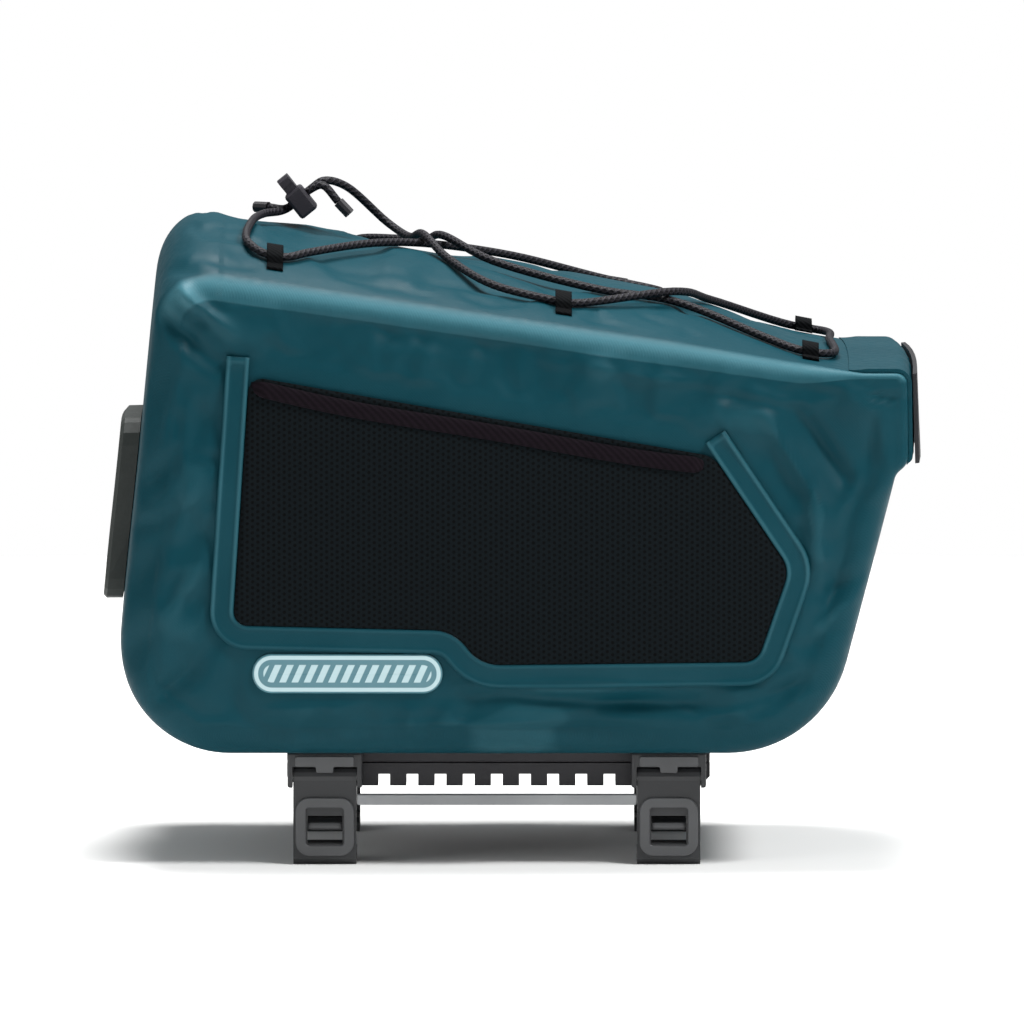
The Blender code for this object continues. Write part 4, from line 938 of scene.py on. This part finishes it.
def edge_radius(points, normals):
    """Rounding of the long edges: tighter along the top seam, tightest beside the rolled closure."""
    low_share, top_share, roll_share = 1.25, 0.85, 0.28
    start_x = RIDGE_FRONT[0] - 38 * MM
    start_z = RIDGE_FRONT[1] - ROLL_HEIGHT - 14 * MM
    radius = EDGE_RADIUS * (low_share - (low_share - top_share) * smooth_step(normals[:, 1]))
    near_front = smooth_step((points[:, 0] - start_x) / (30 * MM))
    near_top = smooth_step((points[:, 1] - start_z) / (16 * MM))
    return radius * (1 - (1 - roll_share) * near_front * near_top)


class TRUNKBAG_OT_body(bpy.types.Operator):
    """Builds the soft body as one closed surface, with its crown, swell, folds and wrinkles"""

    bl_idname = "trunkbag.body"
    bl_label = "Soft body"

    def execute(self, context):
        nodes = ("side_panel_right", "side_panel_left", "gusset", "top_panel")
        points, normals = filled_outline(body_corners(), BODY_ARC_STEP, BODY_RUN)
        radius = edge_radius(points, normals)[:, None]
        middle = (points - normals * radius).mean(axis=0)
        half = BODY_WIDTH / 2
        # The rings of a side lie closer towards its edge, where the cloth shows.
        share = (np.linspace(0, 1, SIDE_STEPS + 1) ** 0.6)[1:-1]
        angle = np.linspace(0, math.pi / 2, EDGE_STEPS + 1)
        run = np.linspace(-1, 1, ACROSS_STEPS + 1)[1:-1]
        centre, across = np.ones(len(share)), np.zeros(len(run))
        shares = np.concatenate([share, np.ones(2 * len(angle) + len(run)), share[::-1]])
        insets = np.concatenate([centre, 1 - np.sin(angle), across, 1 - np.sin(angle[::-1]), centre])
        # A level is a share of the flat half width, plus a share of the edge's rounding.
        flat_share = np.concatenate([-centre, 0 * angle - 1, run, 0 * angle + 1, centre])
        round_part = np.concatenate([-centre, -np.cos(angle), across, np.cos(angle[::-1]), centre])
        level = flat_share * (half - radius) + round_part * radius
        ringed = points[:, None] - normals[:, None] * (insets * radius)[..., None]
        ringed = middle + (ringed - middle) * shares[None, :, None]
        rows, columns = len(points), len(shares)
        flat_form = points_at(ringed[..., 0], level, ringed[..., 1])
        poles = points_at(middle[0], np.array([-half, half]), middle[1])
        start = np.concatenate([flat_form.reshape(-1, 3), poles])
        form = softened(start)
        plain = softened(start, fine=False)
        first = np.arange(rows) * columns
        fans = [fan_faces(rows * columns, first), fan_faces(rows * columns + 1, first + columns - 1)]
        sets = [grid_faces(rows, columns, closed_rows=True), *fans]
        piece = make_piece("bag_body", form, sets, cloth_material(), "bag")
        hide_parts(*nodes)
        # A paler highlight is painted along the top seam, strongest where the outline faces up as light
        # from above falls, and a little on what stands out of a side.
        place = np.abs(level) - half + 0.35 * radius
        seam = np.exp(-((place / (0.4 * radius)) ** 2)) * (shares == 1)
        seam = seam * (0.12 + 0.88 * smooth_step(normals[:, 1:] / 0.8))
        painted_highlight = np.concatenate([seam.ravel(), [0, 0]])
        standing = np.clip((np.abs(form[:, 1]) - np.abs(plain[:, 1])) / (2.2 * MM), 0, 1)
        set_attribute(piece, "painted_highlight", np.clip(HIGHLIGHT_SEAM * painted_highlight + HIGHLIGHT_FOLD * standing, 0, 1))
        # The side panels are woven in XZ, and the band round them along its run and across.
        walked = walked_along(points)
        on_side = np.tile(shares < 1, rows)
        first = np.where(on_side, flat_form[..., 0].ravel(), np.repeat(walked, columns))
        second = np.where(on_side, flat_form[..., 2].ravel(), flat_form[..., 1].ravel())
        set_weave(piece, *(np.concatenate([way, [0, 0]]) for way in (first, second)))
        return {"FINISHED"}


class TRUNKBAG_OT_pockets(bpy.types.Operator):
    """Builds the welded border, the bulging net and the elastic hem of both side pockets"""

    bl_idname = "trunkbag.pockets"
    bl_label = "Side pockets"

    def execute(self, context):
        size = sizes()
        window, normals = filled_outline(WINDOW_CORNERS, WINDOW_ARC_STEP, POCKET_RUN)
        line, out = self.border_line()
        share = np.linspace(0, 1, BORDER_STEPS + 1)
        walked = walked_along(line)
        to_end = np.minimum(walked, walked[-1] - walked)
        # A bead stands on both edges and round the ends, lower along the bottom, with a flat strip between.
        inner_bead, outer_bead, bead_width = 0.10, 0.88, 0.09
        edge = sum(np.exp(-(((share - place) / bead_width) ** 2)) for place in (inner_bead, outer_bead))
        end = np.exp(-((to_end / (1.1 * MM) - 1.2) ** 2))
        bead = np.maximum(edge[None, :], end[:, None])
        bead = bead * (1 - 0.5 * smooth_step(-out[:, 1:] / 0.7))
        for side, label in SIDES:
            layers = []
            for top in (1, 0):
                columns = []
                for place, along in enumerate(share):
                    stand = LAY_GAP + top * (size.border_cloth + size.welt_height * bead[:, place])
                    columns.append(side_points(line + out * size.border_width * along, side, stand))
                layers.append(np.stack(columns, axis=1))
            border = strip_piece(
                f"pocket_border_{label}",
                *layers,
                False,
                cloth_material(),
                "coated_cloth",
                replaces=(f"pocket_frame_{label}",),
            )
            # The beads get a paler painted highlight, in step with their height.
            painted_highlight = HIGHLIGHT_BEAD * np.clip(bead, 0, 1).ravel()
            set_attribute(border, "painted_highlight", np.concatenate([painted_highlight, 0 * painted_highlight]))
            set_weave(border, *vertex_places(border.data)[:, [0, 2]].T)
            self.net(window, normals, side, label)
            self.hem(side, label)
        return {"FINISHED"}

    @staticmethod
    def border_line():
        """Inner edge of the border: the window's outline without its mouth, both ends drawn out past it."""
        rise = sizes().border_rise
        ends = []
        for top, below in (WINDOW_CORNERS[:2], WINDOW_CORNERS[:-3:-1]):
            way = np.array(top[:2]) - below[:2]
            ends.append((*(top[:2] + way / np.linalg.norm(way) * rise), 1 * MM))
        drawn = [ends[0], *WINDOW_CORNERS[1:-1], ends[1]]
        line, out = filled_outline(drawn, WINDOW_ARC_STEP, POCKET_RUN)
        run = np.array(ends[1][:2]) - np.array(ends[0][:2])
        over = np.abs((line - ends[0][:2]) @ np.array([-run[1], run[0]])) / np.linalg.norm(run)
        kept = over > 2 * MM
        first = int(np.flatnonzero(kept & ~np.roll(kept, 1))[0])
        kept = np.roll(kept, -first)
        return np.roll(line, -first, axis=0)[kept], np.roll(out, -first, axis=0)[kept]

    @staticmethod
    def net(window, normals, side, label):
        """The net bulges as 1 - s², and soft upright waves run over it."""
        size = sizes()
        rim = window - normals * NET_INSET
        middle = rim.mean(axis=0)
        outer = []
        inner = []
        for share in np.linspace(1, 0.03, NET_STEPS):
            ring = middle + (rim - middle) * share
            x, z = ring.T
            wave = sum(np.sin(x / run + z / rise) * depth for run, rise, depth in NET_WAVES)
            stand = (size.net_bulge + wave) * (1 - share**2)
            lifted = points_at(0, side * stand, 0)
            outer.append(side_points(ring, side, LAY_GAP + NET_CLOTH) + lifted)
            inner.append(side_points(ring, side, LAY_GAP) + lifted)
        material = material_named("knitted_polyester_net", knitted_net)
        piece = disc_piece(f"pocket_net_{label}", outer, inner, material, "pocket_mesh")
        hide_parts(f"pocket_mesh_{label}")

    @staticmethod
    def hem(side, label):
        """A flat elastic tube along the mouth, from the rear top corner of the window to its front one."""
        size = sizes()
        rear, front = (np.array(corner[:2]) for corner in (WINDOW_CORNERS[0], WINDOW_CORNERS[-1]))
        share = np.linspace(0.004, 0.985, HEM_STEPS)
        line = rear + (front - rear) * share[:, None]
        sag = 2.4 * MM * np.sin(math.pi * share) + 0.7 * MM * np.sin(9 * share)
        line[:, 1] -= size.hem_width * 0.62 + sag
        # Both ends thin out and dip under the border.
        full = smooth_step(np.minimum(share - share[0], share[-1] - share) / 0.03)
        path = side_points(line, side, LAY_GAP + (0.7 + 1.9 * full) * MM)
        material = material_named("elastic_hem_tape", woven_tape, tuple(colours().hem), 1.6 * MM)
        tube_piece(
            f"pocket_hem_{label}",
            path,
            (0.3 + 1.0 * full) * MM,
            size.hem_width / 2 * (0.55 + 0.45 * full),
            HEM_SIDES,
            material,
        )


class TRUNKBAG_OT_patches(bpy.types.Operator):
    """Builds the reflective patch on each side: a pill of film with a rim line and plain slanted bars"""

    bl_idname = "trunkbag.patches"
    bl_label = "Reflective patches"

    def execute(self, context):
        size = sizes()
        material = material_named("printed_reflective_film", reflective_print)
        for side, label in SIDES:
            node = f"reflector_patch_{label}"
            low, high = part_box(node)
            half_high = (high.z - low.z) / 2
            rim = ((low.x, high.z), (low.x, low.z), (high.x, low.z), (high.x, high.z))
            corners = [(x, z, half_high * 0.98) for x, z in rim]
            pill, normals = filled_outline(corners, 8, 2 * MM)
            insets = half_high * np.concatenate([[0, 0.04, 0.09], np.linspace(0.14, 0.97, 16)])
            dome = np.sqrt(np.clip(insets / (1 * MM), 0, 1))
            outer = []
            inner = []
            for step, inset in enumerate(insets):
                ring = pill - normals * inset
                stand = LAY_GAP + 0.35 * MM + (size.patch_thickness - 0.35 * MM) * dome[step]
                outer.append(side_points(ring, side, stand))
                inner.append(side_points(ring, side, LAY_GAP))
            piece = disc_piece(f"patch_{label}", outer, inner, material, "reflective_film")
            depth = np.concatenate([np.repeat(insets, len(pill)), [half_high]])
            set_attribute(piece, "inset", np.concatenate([depth, 0 * depth]))
            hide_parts(node)
        return {"FINISHED"}


class TRUNKBAG_OT_closure(bpy.types.Operator):
    """Builds the rolled closure's outer turn: a cloth wall laid from the top, over the roll, to its foot"""

    bl_idname = "trunkbag.closure"
    bl_label = "Rolled closure"

    def execute(self, context):
        corners = body_corners()
        foot = corners[-4]
        points, normals = filled_outline(corners, BODY_ARC_STEP, BODY_RUN / 2)
        covered = (points[:, 0] > RIDGE_FRONT[0] - ROLL_TAIL) & (points[:, 1] > foot[1] + ROLL_FOOT_RISE)
        points, normals = points[covered], normals[covered]
        walked = walked_along(points)
        # The wall thins out to almost nothing where its tail lies down on the top, and at its foot.
        thinned = smooth_step((walked[-1] - walked) / (0.5 * ROLL_TAIL)) * smooth_step(walked / (3 * MM))
        cloth = ROLL_CLOTH * (0.1 + 0.9 * thinned)
        half = BODY_WIDTH / 2 - edge_radius(points, normals)
        shares = np.linspace(-1, 1, ACROSS_STEPS + 1)
        levels = shares[:, None] * half
        # Soft waves run down the roll's outer face and fade at its ends.
        wave = np.abs(np.sin(levels / (11 * MM)) * 0.35 * MM + np.sin(levels / (4.7 * MM) + 1) * 0.12 * MM)
        wave = wave * (1 - shares[:, None] ** 4) * smooth_step(normals[:, 0])
        layers = []
        for stand in (ROLL_GAP + cloth - wave, np.full_like(wave, ROLL_GAP / 2)):
            x, z = (points[:, way] + normals[:, way] * stand for way in (0, 1))
            layers.append(softened(points_at(x, levels, z)))
        piece = strip_piece("rolled_closure", *layers, False, cloth_material(), "coated_cloth")
        piece.data.set_sharp_from_angle(angle=math.radians(50))
        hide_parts("roll_closure")
        # The roll gets no painted highlight.
        set_attribute(piece, "painted_highlight", np.zeros(len(piece.data.vertices)))
        set_weave(piece, np.tile(walked, 2 * len(shares)), np.tile(levels.ravel(), 2))
        return {"FINISHED"}


class TRUNKBAG_OT_lacing(bpy.types.Operator):
    """Builds the elastic cord along its route and the tape loops that hold it"""

    bl_idname = "trunkbag.lacing"
    bl_label = "Lacing"

    def execute(self, context):
        cord = tube_piece(
            "elastic_cord",
            self.route(),
            CORD_DIAMETER / 2,
            CORD_DIAMETER / 2,
            CORD_SIDES,
            material_named("braided_nylon_sleeve", braided_cord),
        )
        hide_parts("bungee_cord")
        for name, side, x, share in CORD_LOOPS:
            self.loop(name, side, x, share)
        return {"FINISHED"}

    @staticmethod
    def route():
        """A centripetal Catmull-Rom curve: three rounds of blending between neighbours, by chord roots."""
        points = np.array(CORD_ROUTE) * MM
        points[:, 2] += ridge_height(points[:, 0])
        ends = np.concatenate([[2 * points[0] - points[1]], points, [2 * points[-1] - points[-2]]])
        a, b, c, d = ends[:-3], ends[1:-2], ends[2:-1], ends[3:]
        roots = [np.sqrt(np.linalg.norm(q - p, axis=1))[:, None, None] for p, q in ((a, b), (b, c), (c, d))]
        k1, k2, k3 = roots[0], roots[0] + roots[1], roots[0] + roots[1] + roots[2]
        t = k1 + (k2 - k1) * (np.arange(CORD_SPAN_STEPS) / CORD_SPAN_STEPS)[None, :, None]
        a, b, c, d = (p[:, None] for p in (a, b, c, d))
        ab = a + (b - a) * t / k1
        bc = b + (c - b) * (t - k1) / (k2 - k1)
        cd = c + (d - c) * (t - k2) / (k3 - k2)
        abc = ab + (bc - ab) * t / k2
        bcd = bc + (cd - bc) * (t - k1) / (k3 - k1)
        curve = abc + (bcd - abc) * (t - k1) / (k2 - k1)
        return np.concatenate([curve.reshape(-1, 3), points[-1:]])

    @staticmethod
    def loop(name, side, x, share):
        """A tape arch: flat feet, upright sides and a half-round top, carried along its width."""
        size = sizes()
        opening, foot, height, length = 3.75 * MM, 4 * MM, 5.2 * MM, 7 * MM
        thick = size.loop_thickness
        grown = opening + thick
        rise = opening / 2
        angle = np.linspace(math.pi, 0, 21)
        arch = np.stack([np.cos(angle), np.sin(angle)], axis=1)
        along = x + length * np.linspace(-0.5, 0.5, 9)[:, None]
        layers = []
        for half, high, feet in (
            (grown, rise + thick, [(grown + foot, thick), (grown, thick), (grown, thick + 0.2 * MM)]),
            (opening, rise, [(grown + foot, 0), (grown, 0), (opening, 0)]),
        ):
            feet = np.array(feet)
            outline = np.concatenate([feet * (-1, 1), arch * (half, high) + (0, height - rise), feet[::-1]])
            across = side * share * BODY_WIDTH / 2 + outline[:, 0]
            grid = points_at(along, across, outline[:, 1] + 0.3 * MM + ridge_height(along))
            layers.append(softened(grid, fine=False))
        material = material_named("nylon_loop_tape", woven_tape, linear("0C0E10"), 1.1 * MM)
        piece = strip_piece(f"tape_loop_{name}", *layers, False, material, "webbing")
        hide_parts(f"cord_loop_{name}")


class TRUNKBAG_OT_clamps(bpy.types.Operator):
    """Adds the moulded relief of the clamps: a T on each block, a frame and a tongue on each hook, in a
    lighter grey painted as highlight
    """

    bl_idname = "trunkbag.clamps"
    bl_label = "Clamp relief"

    relief = 1.1 * MM
    chamfer = 0.4 * MM
    sunk = 0.05 * MM
    sharp = math.radians(30)

    def execute(self, context):
        for side, side_label in SIDES:
            for end_label in ("rear", "front"):
                label = f"{side_label}_{end_label}"
                body = "latch" if side < 0 else "bag"
                hook_low, hook_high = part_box(f"clamp_hook_{label}")
                block_low, block_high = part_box(f"clamp_block_{label}")
                middle = (hook_low.x + hook_high.x) / 2
                block_face = max(abs(block_low.y), abs(block_high.y))
                hook_face = max(abs(hook_low.y), abs(hook_high.y))
                self.tee(f"block_relief_{label}", middle, side, block_face)
                self.frame(f"hook_frame_{label}", middle, side, hook_face, body)
                self.tongue(f"hook_tongue_{label}", middle, side, hook_face, body)
        return {"FINISHED"}

    @staticmethod
    def grey():
        return material_named("moulded_grey_nylon", moulded_plastic, colours().plastic, 0.46)

    # The relief's lighter grey is a painted highlight on the raised parts.
    @staticmethod
    def highlight_grey():
        return material_named("rubbed_grey_nylon", moulded_plastic, colours().plastic_highlight, 0.4)

    def tee(self, name, middle, side, face):
        """A raised T on a block's outer face: its bar under the bag and its short stem above the hook."""
        low, waist, high = 39.6 * MM, 42.2 * MM, 46.8 * MM
        stem, bar, rounding = 3.7 * MM, 12.6 * MM, 0.9 * MM
        half = [(-bar, high), (-bar, waist), (-stem, waist), (-stem, low)]
        corners = [(middle + x, z, rounding) for x, z in half + [(-x, z) for x, z in half[::-1]]]
        loop, normals = filled_outline(corners, 15, 1 * MM)
        centre = np.array([middle, (waist + high) / 2])
        outer = [(loop, self.relief - self.chamfer), (loop - normals * self.chamfer, self.relief)]
        outer += [(centre + (outer[1][0] - centre) * share, self.relief) for share in (0.6, 0.2)]
        layers = [
            [points_at(ring[:, 0], side * (face + stand), ring[:, 1]) for ring, stand in rings]
            for rings in (outer, [(ring, self.sunk) for ring, stand in outer])
        ]
        piece = disc_piece(name, *layers, self.highlight_grey(), "grey_plastic")
        piece.data.set_sharp_from_angle(angle=self.sharp)

    def frame(self, name, middle, side, face, body):
        """A raised frame round the window in a hook's outer wall, chamfered on both edges."""
        half, low, high, width = 8.1 * MM, 8.3 * MM, 24.5 * MM, 4.4 * MM
        corners = [(-half, high), (-half, low), (half, low), (half, high)]
        corners = [(middle + x, z, 1.4 * MM) for x, z in corners]
        loop, normals = filled_outline(corners, 15, 1.5 * MM)
        share = np.array([0, self.chamfer / width, 1 - self.chamfer / width, 1])
        flat = loop[:, None] + normals[:, None] * (share * width)[:, None]
        stand = self.relief - self.chamfer * np.array([1, 0, 0, 1])
        x, z = flat[..., 0], flat[..., 1]
        layers = [points_at(x, side * (face + level), z) for level in (stand, self.sunk)]
        piece = strip_piece(name, *layers, True, self.highlight_grey(), "grey_plastic", body)
        piece.data.set_sharp_from_angle(angle=self.sharp)

    def tongue(self, name, middle, side, face, body):
        """A rounded bar across the window, a little behind the hook's outer face."""
        half, depth, height = 7.3 * MM, 2.6 * MM, 16.4 * MM
        path = points_at(middle + np.linspace(-half, half, 12), side * (face - depth), height)
        tube_piece(name, path, 1.5 * MM, 1.7 * MM, 16, self.highlight_grey(), body)


class TRUNKBAG_OT_finishes(bpy.types.Operator):
    """Gives the hard pieces of the frame their moulded, rubber and steel finishes"""

    bl_idname = "trunkbag.finishes"
    bl_label = "Hard pieces"

    def execute(self, context):
        colour = colours()
        grey = TRUNKBAG_OT_clamps.grey()
        dark = moulded_plastic("moulded_dark_nylon", colour.plastic_dark, 0.5)
        finishes = {
            "adapter_plate": dark,
            "rail_": dark,
            "clamp_block": grey,
            "clamp_hook": grey,
            "release_bar": moulded_plastic("moulded_light_nylon", colour.plastic_light, 0.46),
            "rear_plate": moulded_plastic("moulded_olive_black_plate", colour.plate, 0.58, 0.8 * MM),
            "closure_strip": moulded_plastic("extruded_black_strip", linear("15161A"), 0.45),
            "lock_": moulded_plastic("moulded_black_acetal", linear("26242B"), 0.4),
            "cord_end": moulded_plastic("moulded_black_cap", linear("1B1A1E"), 0.45),
            "jaw_pad": moulded_plastic("moulded_black_rubber", linear("121212"), 0.85, 0.4 * MM),
            "hook_pin": drawn_steel("drawn_stainless_steel"),
        }
        for name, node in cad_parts.items():
            if node.hide_render:
                continue
            chosen = [material for start, material in finishes.items() if name.startswith(start)]
            if not chosen:
                raise RuntimeError(f"{name} has no finish")
            for place in node.material_slots:
                place.material = chosen[0]
        return {"FINISHED"}


class TRUNKBAG_OT_stage(bpy.types.Operator):
    """Builds the pale floor, the soft lights and the camera at the photograph's angle"""

    bl_idname = "trunkbag.stage"
    bl_label = "Stage"

    def execute(self, context):
        scene = context.scene
        ring = 2 * math.pi * np.arange(FLOOR_SIDES) / FLOOR_SIDES
        verts = points_at(FLOOR_RADIUS * np.cos(ring), FLOOR_RADIUS * np.sin(ring), 0)
        verts = np.concatenate([np.zeros((1, 3)), verts])
        mesh = new_mesh("floor", verts, [fan_faces(0, np.arange(1, FLOOR_SIDES + 1))])
        material, _, shader, _ = start_material("matt_paper", 0.9)
        shader.inputs["Base Color"].default_value = (*colours().floor, 1)
        mesh.materials.append(material)
        floor = new_object("floor", mesh)
        for name, place, width, power in LAMPS:
            lamp = bpy.data.lights.new(name, "AREA")
            lamp.shape = "SQUARE"
            lamp.size = width
            lamp.energy = power
            self.aim(new_object(name, lamp), Vector(place))
        world = bpy.data.worlds.new("studio")
        world.use_nodes = True
        tree = world.node_tree
        backdrop = tree.nodes["Background"]
        backdrop.inputs["Color"].default_value = (1, 1, 1, 1)
        # The backdrop is white where it is looked at, and lights the bag softly.
        looked_at = add(tree, "ShaderNodeLightPath").outputs["Is Camera Ray"]
        strength = worked_out(tree, "MULTIPLY_ADD", looked_at, 1 - WORLD_LIGHT, WORLD_LIGHT)
        connect(tree, backdrop, Strength=strength)
        scene.world = world
        scene.view_settings.view_transform = "Standard"
        camera = new_object("camera", bpy.data.cameras.new("camera"))
        tilt = math.radians(CAMERA_ELEVATION)
        back = Vector((0, -math.cos(tilt), math.sin(tilt)))
        self.aim(camera, Vector(AIM_POINT) + back * CAMERA_DISTANCE)
        camera.data.lens = CAMERA_LENS
        camera.data.clip_end = CAMERA_REACH
        scene.camera = camera
        return {"FINISHED"}

    @staticmethod
    def aim(holder, place):
        holder.location = place
        holder.rotation_euler = (Vector(AIM_POINT) - place).to_track_quat("-Z", "Y").to_euler()


OPERATORS = (
    TRUNKBAG_OT_stage,
    TRUNKBAG_OT_lacing,
    TRUNKBAG_OT_relief,
    TRUNKBAG_OT_body,
    TRUNKBAG_OT_pockets,
    TRUNKBAG_OT_patches,
    TRUNKBAG_OT_closure,
    TRUNKBAG_OT_clamps,
    TRUNKBAG_OT_finishes,
)


class TRUNKBAG_PT_panel(bpy.types.Panel):
    """Lists the bag's sizes, its colours and the operators that build it"""

    bl_idname = "TRUNKBAG_PT_panel"
    bl_label = "Trunk Bag"
    bl_space_type = "VIEW_3D"
    bl_region_type = "UI"
    bl_category = "Trunk Bag"

    def draw(self, context):
        for operator in OPERATORS:
            self.layout.operator(operator.bl_idname, text=operator.bl_label)
        for group in (context.scene.trunk_bag_sizes, context.scene.trunk_bag_colours):
            column = self.layout.column()
            for name in group.__annotations__:
                column.prop(group, name)


CLASSES = (TrunkBagSizes, TrunkBagColours, *OPERATORS, TRUNKBAG_PT_panel)


def register():
    for entry in CLASSES:
        bpy.utils.register_class(entry)
    bpy.types.Scene.trunk_bag_sizes = bpy.props.PointerProperty(type=TrunkBagSizes)
    bpy.types.Scene.trunk_bag_colours = bpy.props.PointerProperty(type=TrunkBagColours)


def unregister():
    del bpy.types.Scene.trunk_bag_colours
    del bpy.types.Scene.trunk_bag_sizes
    for entry in reversed(CLASSES):
        bpy.utils.unregister_class(entry)


def main():
    register()
    for operator in OPERATORS:
        group, name = operator.bl_idname.split(".")
        getattr(getattr(bpy.ops, group), name)()


if __name__ == "__main__":
    main()
